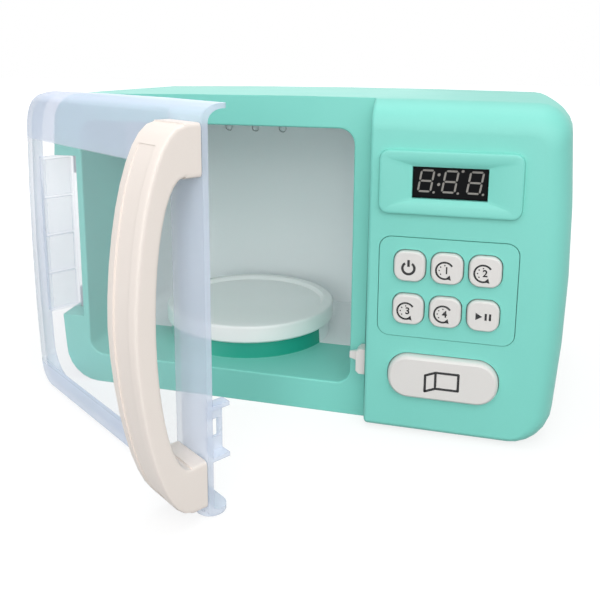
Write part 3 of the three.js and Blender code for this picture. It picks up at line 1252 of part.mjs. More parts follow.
// Each end of the barrel takes one pin.
const pinInBarrel = HINGE_PIN_LENGTH - HINGE_PIN_GRIP - NOTCH_END_GAP
const pinSpans = [
  [HINGE_LOW - NOTCH_END_GAP - HINGE_PIN_GRIP, HINGE_LOW + pinInBarrel],
  [HINGE_HIGH - pinInBarrel, HINGE_HIGH + NOTCH_END_GAP + HINGE_PIN_GRIP],
]

function hingeBores() {
  const radius = HINGE_PIN_RADIUS + HINGE_PIN_CLEARANCE
  const low = [HINGE_LOW - CUT_OVERRUN, pinSpans[0][1] + SEAT_GAP]
  const high = [pinSpans[1][0] - SEAT_GAP, HINGE_HIGH + CUT_OVERRUN]
  return joined(...[low, high].map(z => barZ(radius, HINGE_X, HINGE_Y, z, SMALL_FACETS)))
}

// The handle is an arch on two feet; both its curves flatten towards the middle.
function archPoint(half, reach, power, angle) {
  const up = Math.sin(angle)
  const out = (1 - Math.abs(up) ** power) ** (1 / 2)
  return point(FRONT - HANDLE_FOOT_REACH - (reach - HANDLE_FOOT_REACH) * out, HANDLE_CENTRE + half * up)
}

function archCurve(half, reach, power, fromAngle, toAngle) {
  const points = []
  for (let k = 0; k <= HANDLE_STEPS; k++) {
    points.push(archPoint(half, reach, power, fromAngle + (toAngle - fromAngle) * k / HANDLE_STEPS))
  }
  return points
}

function doorHandle() {
  const quarter = Math.PI / 2
  const outerHalf = HANDLE_HALF_HEIGHT - HANDLE_FOOT_STEP
  const gripHalf = HANDLE_GRIP_HALF + HANDLE_FOOT_STEP
  const foot = FRONT - HANDLE_FOOT_REACH
  const deep = FRONT + HANDLE_FOOT_DEPTH
  const outline = [
    point(deep, HANDLE_CENTRE - HANDLE_GRIP_HALF), point(deep, HANDLE_CENTRE - HANDLE_HALF_HEIGHT),
    point(foot, HANDLE_CENTRE - HANDLE_HALF_HEIGHT),
    ...archCurve(outerHalf, HANDLE_REACH, HANDLE_ARCH_POWER, -quarter, quarter),
    point(foot, HANDLE_CENTRE + HANDLE_HALF_HEIGHT),
    point(deep, HANDLE_CENTRE + HANDLE_HALF_HEIGHT), point(deep, HANDLE_CENTRE + HANDLE_GRIP_HALF),
    point(foot, HANDLE_CENTRE + HANDLE_GRIP_HALF),
    ...archCurve(gripHalf, HANDLE_GRIP_REACH, GRIP_ARCH_POWER, quarter, -quarter),
    point(foot, HANDLE_CENTRE - HANDLE_GRIP_HALF),
  ]
  let handle = prismX(outline, handleX[0], handleX[1], HANDLE_EDGE)
  handle = less(handle, caseForm(0, doorFace).translate([0, -DOOR_BAND_PROUD - SEAT_GAP, 0]))
  const angle = Math.asin(HANDLE_GROOVE_HALF / outerHalf)
  const groove = [
    ...archCurve(outerHalf, HANDLE_REACH + CUT_OVERRUN, HANDLE_ARCH_POWER, -angle, angle),
    ...archCurve(outerHalf, HANDLE_REACH - HANDLE_GROOVE_DEPTH, HANDLE_ARCH_POWER, angle, -angle),
  ]
  handle = less(handle, prismX(groove, ...about(handleMiddle, HANDLE_GROOVE_WIDTH)))
  const pilotY = [handleSeat - SCREW_LENGTH, handleSeat + CUT_OVERRUN]
  for (const z of handleScrewZ) handle = less(handle, barY(pilotRadius, handleMiddle, pilotY, z))
  return handle
}

// A cross-slotted screw; its head lies at the back of its seat.
function screwAt(x, z, seat, length) {
  const headBack = seat + SCREW_HEAD_HEIGHT
  const head = barY(SCREW_HEAD_RADIUS, x, [seat, headBack], z)
  const shank = barY(SCREW_RADIUS, x, [seat - length, seat + SCREW_HEAD_HEIGHT / 2], z)
  const deep = [headBack - SCREW_SLOT_WIDTH, headBack + CUT_OVERRUN]
  const across = block(about(x, 2 * SCREW_RADIUS), deep, about(z, SCREW_SLOT_WIDTH))
  const upright = block(about(x, SCREW_SLOT_WIDTH), deep, about(z, 2 * SCREW_RADIUS))
  return less(head.add(shank), across, upright)
}

// Each mesh is one sub-part with its own finish.
const object = new THREE.Group()
const door = new THREE.Group()
door.position.set(HINGE_X, HINGE_Y, 0)
door.rotation.z = -THREE.MathUtils.degToRad(DOOR_OPEN_DEGREES)
object.add(door)

function place(name, solid, finish, parent = object) {
  const mesh = new THREE.Mesh(geometryOf(solid), new THREE.MeshStandardMaterial(finish))
  mesh.name = name
  parent.add(mesh)
}

function placeOnDoor(name, solid, finish) {
  place(name, solid.translate([-HINGE_X, -HINGE_Y, 0]), finish, door)
}

place('front_shell', frontShell(), MINT)
place('rear_shell', rearShell(), MINT)
place('cavity_liner', cavityLiner(), LINER_WHITE)
place('keypad_plate', keypadPlate(), MINT)
place('display_module', displayModule(), BLACK)
place('control_board', controlBoard(), BOARD_GREEN)
const timeNames = [1, 2, 3, 4].map(minutes => `time_button_${minutes}`)
const keyNames = ['power_button', ...timeNames, 'start_button']
keyNames.forEach((name, k) => {
  place(name, pushButton(keyPlaces[k]), WHITE)
  place(`key_switch_${k + 1}`, keySwitch(keyPlaces[k]), BLACK)
})
place('open_button', openButton(), WHITE)
place('open_button_spring', openSpring(), STEEL)
place('latch_slider', latchSlider(), WHITE)
place('latch_spring', latchSpring(), STEEL)
lampPlaces.forEach((x, k) => place(`cavity_led_${k + 1}`, cavityLamp(x), CLEAR))
place('lamp_board', lampBoard(), BOARD_GREEN)
place('turntable_plate', turntablePlate(), WHITE)
place('turntable_shaft', turntableShaft(), GEAR_WHITE)
place('drive_gear', spurGear(DRIVE_GEAR_TEETH, TABLE_X, shaftBore, 0), GEAR_WHITE)
const pinionBore = MOTOR_SHAFT_RADIUS + SHAFT_BORE_CLEARANCE
place('motor_pinion', spurGear(PINION_TEETH, motorX, pinionBore, Math.PI / PINION_TEETH), GEAR_WHITE)
place('turntable_motor', turntableMotor(), STEEL)
place('motor_mount', motorBed(), GEAR_WHITE)
for (let k = 0; k < CELL_COUNT; k++) place(`battery_cell_${k + 1}`, batteryCell(k), CELL_SLEEVE)
place('battery_door', batteryLid(), MINT)
place('battery_door_screw', screwAt(BATTERY_MIDDLE_X, lidScrewZ, lidScrewSeat, BATTERY_SCREW_LENGTH), STEEL)
place('contact_plate_1', batteryContact(-1), STEEL)
place('contact_plate_2', batteryContact(1), STEEL)
place('speaker', speakerUnit(), BLACK)
const caseScrewSeat = CASE_SEAM + BOSS_SEAT + SEAT_GAP
bossPlaces.forEach(([x, z], k) => {
  place(`case_screw_${k + 1}`, screwAt(x, z, caseScrewSeat, CASE_SCREW_LENGTH - SEAT_GAP), STEEL)
})
pinSpans.forEach((span, k) => {
  place(`hinge_pin_${k + 1}`, barZ(HINGE_PIN_RADIUS, HINGE_X, HINGE_Y, span, SMALL_FACETS), STEEL)
})
placeOnDoor('door_shell', doorShell(), CLEAR)
placeOnDoor('door_handle', doorHandle(), CREAM)
handleScrewZ.forEach((z, k) => {
  const screw = screwAt(handleMiddle, z, doorPlateBack + SEAT_GAP, SCREW_LENGTH)
  placeOnDoor(`handle_screw_${k + 1}`, screw, STEEL)
})

export default object
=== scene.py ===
# %% [markdown]
# # A toy microwave oven
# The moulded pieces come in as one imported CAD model, in metres, with the oven's underside at height zero
# and its front towards -Y. The lesson gives each piece a smooth skin and a finish, adds the printed
# signs, and lights it.

# %% Load the frame
import json
import math
import bmesh
import bpy
from mathutils import Matrix, Vector
from mathutils.bvhtree import BVHTree

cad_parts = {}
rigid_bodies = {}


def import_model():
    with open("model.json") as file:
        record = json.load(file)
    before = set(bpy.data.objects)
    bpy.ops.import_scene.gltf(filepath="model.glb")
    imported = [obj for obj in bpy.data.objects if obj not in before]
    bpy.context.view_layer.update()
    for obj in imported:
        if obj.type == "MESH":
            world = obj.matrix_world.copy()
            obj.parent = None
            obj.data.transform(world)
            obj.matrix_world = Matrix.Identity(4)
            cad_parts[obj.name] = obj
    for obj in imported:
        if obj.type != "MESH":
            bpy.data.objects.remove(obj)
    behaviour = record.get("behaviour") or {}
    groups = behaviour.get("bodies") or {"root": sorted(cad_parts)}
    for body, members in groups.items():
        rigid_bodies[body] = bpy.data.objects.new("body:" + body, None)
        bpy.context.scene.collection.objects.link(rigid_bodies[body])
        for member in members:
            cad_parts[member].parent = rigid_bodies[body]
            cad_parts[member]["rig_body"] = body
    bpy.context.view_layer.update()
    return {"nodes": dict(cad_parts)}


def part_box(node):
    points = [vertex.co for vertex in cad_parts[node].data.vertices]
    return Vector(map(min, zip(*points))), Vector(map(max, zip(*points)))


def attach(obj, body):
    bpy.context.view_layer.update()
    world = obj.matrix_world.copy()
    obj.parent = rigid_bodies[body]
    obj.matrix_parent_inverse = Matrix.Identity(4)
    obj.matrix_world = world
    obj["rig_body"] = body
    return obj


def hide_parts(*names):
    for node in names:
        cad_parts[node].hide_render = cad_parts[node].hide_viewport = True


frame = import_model()
MM = 0.001

# %% [markdown]
# The camera stands a little above the oven and to its right, and looks slightly down. Its axis doesn't
# point at the middle of the picture: a small upward shift of the lens keeps upright edges upright, as a
# product photographer does.

# %% The camera
CAMERA_PLACE = (100.2558 * MM, -420.1876 * MM, 186.4496 * MM)
CAMERA_YAW = 0.2613
CAMERA_PITCH = 0.1895
CAMERA_ROLL = 0.007
FOCAL_PIXELS = 717.9533
AXIS_PIXEL = (299.1427, 200)
PICTURE = 600
SENSOR = 36

flat_share = math.cos(CAMERA_PITCH)
ahead_x = -math.sin(CAMERA_YAW) * flat_share
ahead_y = math.cos(CAMERA_YAW) * flat_share
ahead = Vector((ahead_x, ahead_y, -math.sin(CAMERA_PITCH)))
level_right = Vector((math.cos(CAMERA_YAW), math.sin(CAMERA_YAW), 0))
level_up = level_right.cross(ahead)
right = level_right * math.cos(CAMERA_ROLL) + level_up * math.sin(CAMERA_ROLL)
up = right.cross(ahead)
lens = bpy.data.cameras.new("camera")
lens.sensor_width = SENSOR
lens.lens = FOCAL_PIXELS / PICTURE * SENSOR
lens.shift_x = (PICTURE / 2 - AXIS_PIXEL[0]) / PICTURE
lens.shift_y = (AXIS_PIXEL[1] - PICTURE / 2) / PICTURE
lens.clip_start = 10 * MM
camera = bpy.data.objects.new("camera", lens)
turned = Matrix((right, up, -ahead)).transposed().to_4x4()
camera.matrix_world = Matrix.Translation(CAMERA_PLACE) @ turned
bpy.context.scene.collection.objects.link(camera)
bpy.context.scene.camera = camera
print("lens:", round(lens.lens, 2), "mm")

# %% [markdown]
# Shader sums are easier to read as Python expressions than as a heap of nodes. A Wire stands for one
# output of a node, and writing 1 - wire or wire * 0.2 adds the Math node for it.

# %% Sums on sockets
class Wire:
    """One output of a shader node, on which sums can be written."""

    def __init__(self, finish, socket):
        self.finish = finish
        self.socket = socket

    def sum(self, operation, *values):
        return self.finish.node("ShaderNodeMath", {"operation": operation}, dict(enumerate(values)))

    def __add__(self, other):
        return self.sum("ADD", self, other)

    def __radd__(self, other):
        return self.sum("ADD", other, self)

    def __sub__(self, other):
        return self.sum("SUBTRACT", self, other)

    def __rsub__(self, other):
        return self.sum("SUBTRACT", other, self)

    def __mul__(self, other):
        return self.sum("MULTIPLY", self, other)

    def __rmul__(self, other):
        return self.sum("MULTIPLY", other, self)

    def __pow__(self, other):
        return self.sum("POWER", self, other)

    def __gt__(self, other):
        return self.sum("GREATER_THAN", self, other)

    def __lt__(self, other):
        return self.sum("LESS_THAN", self, other)


# %% [markdown]
# A Finish is one material that is being put together. It adds nodes, links them, and has the patterns
# that every plastic needs: noise, a mix of two colours by a mask, a soft step, and a fine relief. Colours
# are given as a screen shows them and are turned into amounts of light, which is what a shader reckons
# with.

# %% A material that is being put together
MIX_COLOURS = {"Factor": 0, "A": 6, "B": 7, "Result": 2}
EDGE_LOOK = 0.4 * MM


class Finish:
    """A material on the Principled shader. What is the same all over goes on the shader's own sockets."""

    def __init__(self, name, constants):
        self.material = bpy.data.materials.new(name)
        self.material.use_nodes = True
        self.tree = self.material.node_tree
        self.shader = self.tree.nodes["Principled BSDF"]
        for socket, value in constants.items():
            self.shader.inputs[socket].default_value = value
        self.place = self.node("ShaderNodeTexCoord", {}, {}, "Object")

    def node(self, kind, settings, sockets, output=0):
        """Adds a node with these settings, plugs in its sockets, and gives one of its outputs."""
        made = self.tree.nodes.new(kind)
        for name, value in settings.items():
            setattr(made, name, value)
        for name, value in sockets.items():
            self.plug(made.inputs[name], value)
        return Wire(self, made.outputs[output])

    def plug(self, socket, value):
        """Links a wire to a socket, or sets the socket to a plain value."""
        if isinstance(value, Wire):
            self.tree.links.new(value.socket, socket)
        else:
            socket.default_value = value

    def feed(self, socket, wire):
        """Links a wire to a socket of the shader itself."""
        self.plug(self.shader.inputs[socket], wire)

    def noise(self, per_metre, detail=2, stretch=(1, 1, 1)):
        """A cloudy pattern from 0 to 1, with this many blotches in a metre."""
        place = self.node("ShaderNodeMapping", {}, {"Vector": self.place, "Scale": stretch})
        sockets = {"Vector": place, "Scale": per_metre, "Detail": detail}
        return self.node("ShaderNodeTexNoise", {}, sockets, "Fac")

    def between(self, mask, first, second):
        """The first colour where the mask is 0, and the second where it is 1."""
        sockets = {MIX_COLOURS["Factor"]: mask, MIX_COLOURS["A"]: first, MIX_COLOURS["B"]: second}
        return self.node("ShaderNodeMix", {"data_type": "RGBA"}, sockets, MIX_COLOURS["Result"])

    def rise(self, value, start, end):
        """0 up to the start, 1 from the end, and a soft slope between them."""
        sockets = {"Value": value, "From Min": start, "From Max": end}
        return self.node("ShaderNodeMapRange", {"interpolation_type": "SMOOTHSTEP"}, sockets)

    def relief(self, height, depth):
        """Small relief of this depth on the surface, over edges that look slightly rounded."""
        rounded = self.node("ShaderNodeBevel", {"samples": 4}, {"Radius": EDGE_LOOK})
        sockets = {"Height": height, "Distance": depth, "Strength": 1, "Normal": rounded}
        self.feed("Normal", self.node("ShaderNodeBump", {}, sockets))


def paint(red, green, blue):
    """The light values of a colour that a screen shows as these numbers from 0 to 255."""
    shares = [value / 255 for value in (red, green, blue)]
    return (*(s / 12.92 if s <= 0.04045 else ((s + 0.055) / 1.055) ** 2.4 for s in shares), 1)


print("half grey on a screen is this much light:", round(paint(128, 128, 128)[0], 3))

# %% [markdown]
# Moulded toy plastic is never one flat colour: it is a touch paler where the skin cooled slower, and the
# mould leaves a very fine texture that breaks up the shine. Each opaque plastic gets both, at a few
# centimetres and at half a millimetre, from two noise patterns in Object coordinates, so the pattern runs
# through all pieces alike.

# %% Opaque moulded plastics
CLOUDS_PER_METRE = 14
GRAINS_PER_METRE = 1500
SMEARS_PER_METRE = 45
CLOUD_SHARE = 0.7
GLOSS_SPREAD = 0.08
GRAIN_GLOSS = 0.04
GRAIN_DEPTH = 0.03 * MM


def moulded(name, deep, pale, roughness, constants=None, tint=None):
    """A satin moulded plastic between two near colours, with another tint in places if one is given."""
    finish = Finish(name, constants or {})
    cloud = finish.noise(CLOUDS_PER_METRE, 3)
    grain = finish.noise(GRAINS_PER_METRE, 2)
    smear = finish.noise(SMEARS_PER_METRE, 4)
    colour = finish.between(cloud * CLOUD_SHARE + grain * (1 - CLOUD_SHARE), deep, pale)
    finish.feed("Base Color", tint(finish, colour) if tint else colour)
    finish.feed("Roughness", roughness - GLOSS_SPREAD / 2 + smear * GLOSS_SPREAD + grain * GRAIN_GLOSS)
    finish.relief(grain, GRAIN_DEPTH)
    return finish.material


print("finest grain:", round(1000 / GRAINS_PER_METRE, 2), "mm")

# %% [markdown]
# The side of the drum under the plate lies in the plate's shadow and turns away from the light towards
# the right. The mint finish gets painted shade for that: a deeper green where a point is near enough to
# the plate's axis and lies between the cavity's floor and the plate, darkest to the right.

# %% Painted shade on the side of the drum
PLATE_LOW, PLATE_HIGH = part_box("turntable_plate")
PLATE_MIDDLE = (PLATE_LOW + PLATE_HIGH) / 2
DRUM_INSET = 2 * MM
DRUM_RADIUS = (PLATE_HIGH.x - PLATE_LOW.x) / 2 - DRUM_INSET
DRUM_FOOT = 17.5 * MM
FOOT_BLEND = 0.3 * MM
SHADE_START = -30 * MM
SHADE_END = 14 * MM


def deeper_drum(finish, colour):
    """Painted shade from the plate's shadow on the side of the drum under it, darkest to its right."""
    x, y, z = (finish.node("ShaderNodeSeparateXYZ", {}, {"Vector": finish.place}, axis) for axis in "XYZ")
    from_axis = ((x - PLATE_MIDDLE.x) ** 2 + (y - PLATE_MIDDLE.y) ** 2) ** 0.5
    above_floor = finish.rise(z, DRUM_FOOT, DRUM_FOOT + FOOT_BLEND)
    on_side = (from_axis < DRUM_RADIUS) * above_floor * (z < PLATE_LOW.z)
    to_right = finish.rise(x, PLATE_MIDDLE.x + SHADE_START, PLATE_MIDDLE.x + SHADE_END)
    # Painted shade: the plate's shadow on the drum's side, deeper to the right where the side turns from
    # the light.
    green = finish.between(to_right, paint(92, 188, 170), paint(24, 156, 134))
    return finish.between(on_side, colour, green)


print("drum:", round(2 * DRUM_RADIUS / MM), "mm across")

# %% [markdown]
# Each slot of the CAD model now gets its plastic, with a deep and a pale colour and a roughness. Smooth
# keys shine more than the satin case, and the black ink shines most.

# %% The plastics
MINT = (paint(118, 204, 190), paint(130, 213, 201))
FINISHES = {
    # The mint carries the painted shade on the side of the drum.
    "mint_plastic": moulded("mint_satin", *MINT, 0.45, tint=deeper_drum),
    "liner_plastic": moulded("liner_satin", paint(237, 243, 244), paint(244, 248, 249), 0.42),
    "white_plastic": moulded("white_satin", paint(215, 213, 210), paint(225, 222, 219), 0.3),
    "cream_plastic": moulded("cream_satin", paint(239, 229, 221), paint(245, 236, 229), 0.42),
    "gear_plastic": moulded("gear_nylon", paint(226, 222, 206), paint(238, 234, 220), 0.45),
    "black_plastic": moulded("black_gloss", paint(17, 18, 20), paint(27, 28, 31), 0.22),
}
print("plastics:", len(FINISHES))

# %% [markdown]
# The door is one moulding of styrene, clear in the middle and milky all round, where its mould was left
# rough. The border between the two is a straight frame on the shut door, so the pattern is first turned
# back by the angle at which the door stands. Four soft steps give the frame. Layer Weight makes a wall
# milky where one looks along it. Milky plastic scatters light forwards as well, so for the rays that look
# for shadow the plastic covers less.

# %% Clear and milky plastic
HINGE = Vector((-0.135, -0.049, 0))
DOOR_TURN = math.radians(33.5)
WINDOW_LEFT = -133 * MM
WINDOW_RIGHT = 19.5 * MM
WINDOW_LOW = 14.5 * MM
WINDOW_HIGH = 144 * MM
SOFT_BORDER = 0.9 * MM
LEAF_FRONT = -67 * MM
HINGE_SIDE_MILK = 0.8
LEAF_MILK = 0.45
CLEAR_COVER = 0.04
SLANT_COVER = 0.3
MILKY_COVER = 0.42
SHADOW_COVER = 0.4

clear = Finish("clear_styrene", {"IOR": 1.5})
turned_back = HINGE - Matrix.Rotation(DOOR_TURN, 3, "Z") @ HINGE
turn = {"Vector": clear.place, "Location": turned_back, "Rotation": (0, 0, DOOR_TURN)}
shut = clear.node("ShaderNodeMapping", {}, turn)
shut_x, shut_y, shut_z = (clear.node("ShaderNodeSeparateXYZ", {}, {"Vector": shut}, axis) for axis in "XYZ")
sides = clear.rise(shut_x, WINDOW_RIGHT, WINDOW_RIGHT + SOFT_BORDER)
leaf = clear.rise(shut_y, LEAF_FRONT - SOFT_BORDER, LEAF_FRONT)
hinge_side = clear.rise(-1 * shut_x, -WINDOW_LEFT, -WINDOW_LEFT + SOFT_BORDER)
hinge_side = hinge_side * (HINGE_SIDE_MILK - leaf * (HINGE_SIDE_MILK - LEAF_MILK))
sides = sides.sum("MAXIMUM", sides, hinge_side)
ends = clear.rise(shut_z, WINDOW_HIGH, WINDOW_HIGH + SOFT_BORDER)
ends = ends.sum("MAXIMUM", ends, clear.rise(-1 * shut_z, -WINDOW_LOW, -WINDOW_LOW + SOFT_BORDER))
milky = sides.sum("MAXIMUM", sides, ends)
slant = clear.node("ShaderNodeLayerWeight", {}, {"Blend": 0.5}, "Facing")
flow = clear.noise(18, 3, (1, 1, 0.4))
glassy = clear.between(slant * 0.8 + flow * 0.2, paint(238, 243, 250), paint(208, 216, 238))
frosted = clear.between(slant * 0.6 + flow * 0.4, paint(231, 241, 252), paint(212, 222, 247))
clear.feed("Base Color", clear.between(milky, glassy, frosted))
shadow = clear.node("ShaderNodeLightPath", {}, {}, "Is Shadow Ray")
cover = CLEAR_COVER + slant ** 3 * SLANT_COVER + flow * 0.02 + milky * (MILKY_COVER + flow * 0.08)
clear.feed("Alpha", cover * (1 - shadow * (1 - SHADOW_COVER)))
clear.feed("Roughness", 0.08 + milky * 0.26)
clear.relief(clear.noise(60, 2), 0.04 * MM)
FINISHES["clear_plastic"] = clear.material
print("window of the door:", round((WINDOW_RIGHT - WINDOW_LEFT) / MM), "mm wide")

# %% [markdown]
# The pieces inside the case need other finishes. Steel has fine scratches that run one way. The circuit
# board has copper lanes and pads under green lacquer. A cell has a printed sleeve with bare metal at both
# ends.

# %% Metals, circuit board and cell sleeves
steel = Finish("bright_steel", {"Metallic": 1})
scratch = steel.noise(900, 3, (1, 0.1, 1))
steel.feed("Base Color", steel.between(scratch, paint(170, 174, 178), paint(205, 208, 210)))
steel.feed("Roughness", 0.22 + scratch * 0.16)
steel.relief(scratch, 0.01 * MM)
FINISHES["steel"] = steel.material

board = Finish("circuit_board", {})
waves = {"Vector": board.place, "Scale": 160, "Distortion": 3}
lanes = board.node("ShaderNodeTexWave", {"bands_direction": "Z"}, waves)
cells = board.node("ShaderNodeTexVoronoi", {}, {"Vector": board.place, "Scale": 240}, "Distance")
on_lane = lanes > 0.7
on_pad = cells < 0.16
masked = board.between(on_lane, paint(28, 92, 56), paint(48, 128, 78))
board.feed("Base Color", board.between(on_pad, masked, paint(196, 198, 190)))
board.feed("Roughness", 0.35 + lanes * 0.15)
board.relief(on_lane + on_pad, 0.04 * MM)
FINISHES["board"] = board.material

sleeve = Finish("cell_sleeve_print", {})
CELL_LOW, CELL_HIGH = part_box("battery_cell_1")
BAND_START = 0.68
LOW_END = 0.03
HIGH_END = 0.955
along = sleeve.node("ShaderNodeSeparateXYZ", {}, {"Vector": sleeve.place}, "X")
share = (along - CELL_LOW.x) * (1 / (CELL_HIGH.x - CELL_LOW.x))
wrap = sleeve.between(share > BAND_START, paint(48, 84, 128), paint(206, 210, 214))
bare_ends = (share < LOW_END) + (share > HIGH_END)
sleeve.feed("Base Color", sleeve.between(bare_ends, wrap, paint(190, 192, 196)))
sleeve.feed("Metallic", bare_ends)
sleeve.feed("Roughness", 0.25 + sleeve.noise(80, 3) * 0.1)
sleeve.relief(sleeve.noise(300, 2), 0.02 * MM)
FINISHES["cell_sleeve"] = sleeve.material
print("finishes:", sorted(FINISHES))

# %% [markdown]
# Every CAD node first gets the finish of its slot. The pieces inside the case stay as they are: nobody
# sees them unless the case is opened, and their shapes are right.

# %% Give every CAD node its finish
SLOT_OF = {}
for name, piece in frame["nodes"].items():
    SLOT_OF[name] = piece.material_slots[0].material.name.split(".")[0]
    piece.material_slots[0].material = FINISHES[SLOT_OF[name]]
print("slots:", sorted(set(SLOT_OF.values())))

# %% [markdown]
# A CAD skin is loose triangles with hard edges. For each piece that shows, a copy is merged to one skin,
# its flat faces are joined, and its soft corners are shaded smooth, while true edges stay crisp. A
# Weighted Normal modifier keeps the large flat faces flat right up to those corners. The copy then stands
# for the CAD node.

# %% Make a smooth skin of a CAD node
MERGE_DISTANCE = 0.002 * MM
FLAT_ANGLE = math.radians(0.3)
CRISP_ANGLE = math.radians(32)


def finished(form, name, body, slot, stands_for=(), material=None):
    """Makes a piece of the form, gives it its finish, and hangs it on its body."""
    mesh = bpy.data.meshes.new(name)
    form.to_mesh(mesh)
    form.free()
    piece = bpy.data.objects.new(name, mesh)
    bpy.context.scene.collection.objects.link(piece)
    mesh.materials.append(material or FINISHES[slot])
    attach(piece, body)
    if stands_for:
        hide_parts(*stands_for)
    return piece


def skin(node, material=None, soften=None):
    """A smooth copy of a CAD node that stands for it, with some of its edges softened first."""
    form = bmesh.new()
    form.from_mesh(frame["nodes"][node].data)
    bmesh.ops.remove_doubles(form, verts=form.verts, dist=MERGE_DISTANCE)
    bmesh.ops.dissolve_limit(form, angle_limit=FLAT_ANGLE, verts=form.verts, edges=form.edges)
    if soften:
        soften(form)
    for face in form.faces:
        face.smooth = True
    for edge in form.edges:
        edge.smooth = len(edge.link_faces) == 2 and edge.calc_face_angle(0) < CRISP_ANGLE
    body = frame["nodes"][node]["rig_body"]
    piece = finished(form, node + "_skin", body, SLOT_OF[node], [node], material)
    weighted = piece.modifiers.new("flat_faces_stay_flat", "WEIGHTED_NORMAL")
    weighted.keep_sharp = True
    return piece


# %% [markdown]
# On the real toy, the long edge of the control panel beside the door and the rim of the cavity are
# rounder than the other edges. Those edges are found by where they lie and how their two faces look, and
# a bevel rounds them.

# %% Round the panel's edge and the rim of the cavity
PANEL_LEFT = 44 * MM
PANEL_ROUND = 2 * MM
CAVITY_FACE = -66 * MM
CAVITY_ROUND = 1 * MM
CAVITY_SIDES = (-122 * MM, 35 * MM)
CAVITY_ENDS = (14 * MM, 156 * MM)
RIM_ANGLE = math.radians(60)
LOOKS_LEFT = -0.99
LOOKS_AHEAD = -0.5
NEAR = 0.02 * MM


def round_edges(form, edges, radius):
    """Bevels the edges to this radius, also where two of them meet closer than that."""
    shape = {"affect": "EDGES", "segments": 4, "profile": 0.5, "material": -1, "clamp_overlap": False}
    bmesh.ops.bevel(form, geom=edges, offset=radius, **shape)


def on_panel_step(edge):
    """True for an edge between the panel's front and its side beside the door."""
    if any(abs(vert.co.x - PANEL_LEFT) > NEAR for vert in edge.verts):
        return False
    if any(vert.co.y > CAVITY_FACE - NEAR for vert in edge.verts):
        return False
    looks = [face.normal.x for face in edge.link_faces]
    return min(looks) < LOOKS_LEFT and max(looks) > LOOKS_AHEAD


def on_cavity_rim(edge):
    """True for an edge between the stepped back face and a wall of the cavity."""
    if any(abs(vert.co.y - CAVITY_FACE) > NEAR for vert in edge.verts):
        return False
    if any(not CAVITY_SIDES[0] < vert.co.x < CAVITY_SIDES[1] for vert in edge.verts):
        return False
    if any(not CAVITY_ENDS[0] < vert.co.z < CAVITY_ENDS[1] for vert in edge.verts):
        return False
    return edge.calc_face_angle(0) > RIM_ANGLE


def soften_front(form):
    """Rounds the edges of the front shell that are rounder on the real toy."""
    step = [edge for edge in form.edges if on_panel_step(edge)]
    round_edges(form, step, PANEL_ROUND)
    rim = [edge for edge in form.edges if on_cavity_rim(edge)]
    round_edges(form, rim, CAVITY_ROUND)
    print("edges rounded:", len(step), len(rim))


# %% [markdown]
# Every piece that shows gets its skin. The lamps, the plate and the display have finishes of their own,
# because they are whiter or darker than the other pieces with the same slot.

# %% Skins for all the pieces that show
DULL = {"Specular IOR Level": 0.05}
lamp_milk = moulded("lamp_milk", paint(236, 242, 243), paint(244, 248, 249), 0.3)
plate_white = moulded("plate_white", paint(240, 243, 242), paint(247, 249, 248), 0.34)
dark_glass = moulded("dark_glass", paint(10, 10, 12), paint(16, 17, 19), 0.3, constants=DULL)
KEYS = ["power_button", "time_button_1", "time_button_2", "time_button_3", "time_button_4", "start_button"]
LAMPS = ["cavity_led_1", "cavity_led_2", "cavity_led_3"]
SHOWN = KEYS + ["rear_shell", "cavity_liner", "keypad_plate", "open_button", "latch_slider"]
SHOWN += ["door_shell", "door_handle", "handle_screw_1", "handle_screw_2", "hinge_pin_1", "hinge_pin_2"]
SHOWN += ["battery_door", "battery_door_screw", "speaker"]
SHOWN += ["case_screw_1", "case_screw_2", "case_screw_3", "case_screw_4"]
skins = {node: skin(node) for node in SHOWN}
skins.update({node: skin(node, lamp_milk) for node in LAMPS})
skins["display_module"] = skin("display_module", dark_glass)
skins["turntable_plate"] = skin("turntable_plate", plate_white)
skins["front_shell"] = skin("front_shell", soften=soften_front)
print("skins:", len(skins), "faces:", sum(len(s.data.polygons) for s in skins.values()))

# %% [markdown]
# The signs are printed on the keys in black ink. Each is drawn flat, facing the viewer, from bars, rings
# and discs, then every point is laid on the key's domed face by a ray, and the flat drawing gets a
# thickness of a tenth of a millimetre, so that it stands on the key as thick ink does.

# %% Flat shapes that face the viewer
INK_BURIED = 0.04 * MM
INK_PROUD = 0.07 * MM
RING_STEP = 9
DIGIT_BOLDNESS = 0.11
LETTER_SHARE = 1.4


def upright(x, z, turn=0, width=1, height=1):
    """Places a flat unit shape at x and z in millimetres, facing the front."""
    place = Matrix.Translation((x * MM, 0, z * MM)) @ Matrix.Rotation(math.radians(turn), 4, "Y")
    size = Matrix.Diagonal((width * MM, height * MM, 1, 1))
    return place @ Matrix.Rotation(math.radians(90), 4, "X") @ size


def bar(form, x, z, width, height, turn=0, cuts=4):
    """A flat bar, cut into a grid so that it can follow a domed face."""
    place = upright(x, z, turn, width, height)
    return bmesh.ops.create_grid(form, x_segments=cuts, y_segments=cuts, size=0.5, matrix=place)["verts"]


def disc(form, x, z, radius, corners=16, turn=0):
    """A flat disc, or a triangle if it has 3 corners."""
    place = upright(x, z, turn, radius, radius)
    bmesh.ops.create_circle(form, cap_ends=True, segments=corners, radius=1, matrix=place)


def ring(form, x, z, radius, width, start, turn):
    """Part of a ring, from a start angle clockwise from the top."""
    centre = Vector((x * MM, 0, z * MM))
    spoke = Matrix.Rotation(math.radians(start), 3, "Y") @ Vector((0, 0, 1))
    inner, outer = (form.verts.new(centre + spoke * (radius + side * width / 2) * MM) for side in (-1, 1))
    edge = form.edges.new((inner, outer))
    steps = max(4, round(abs(turn) / RING_STEP))
    sweep = {"cent": centre, "axis": (0, 1, 0), "angle": math.radians(turn)}
    bmesh.ops.spin(form, geom=[inner, outer, edge], **sweep, steps=steps, use_merge=False)


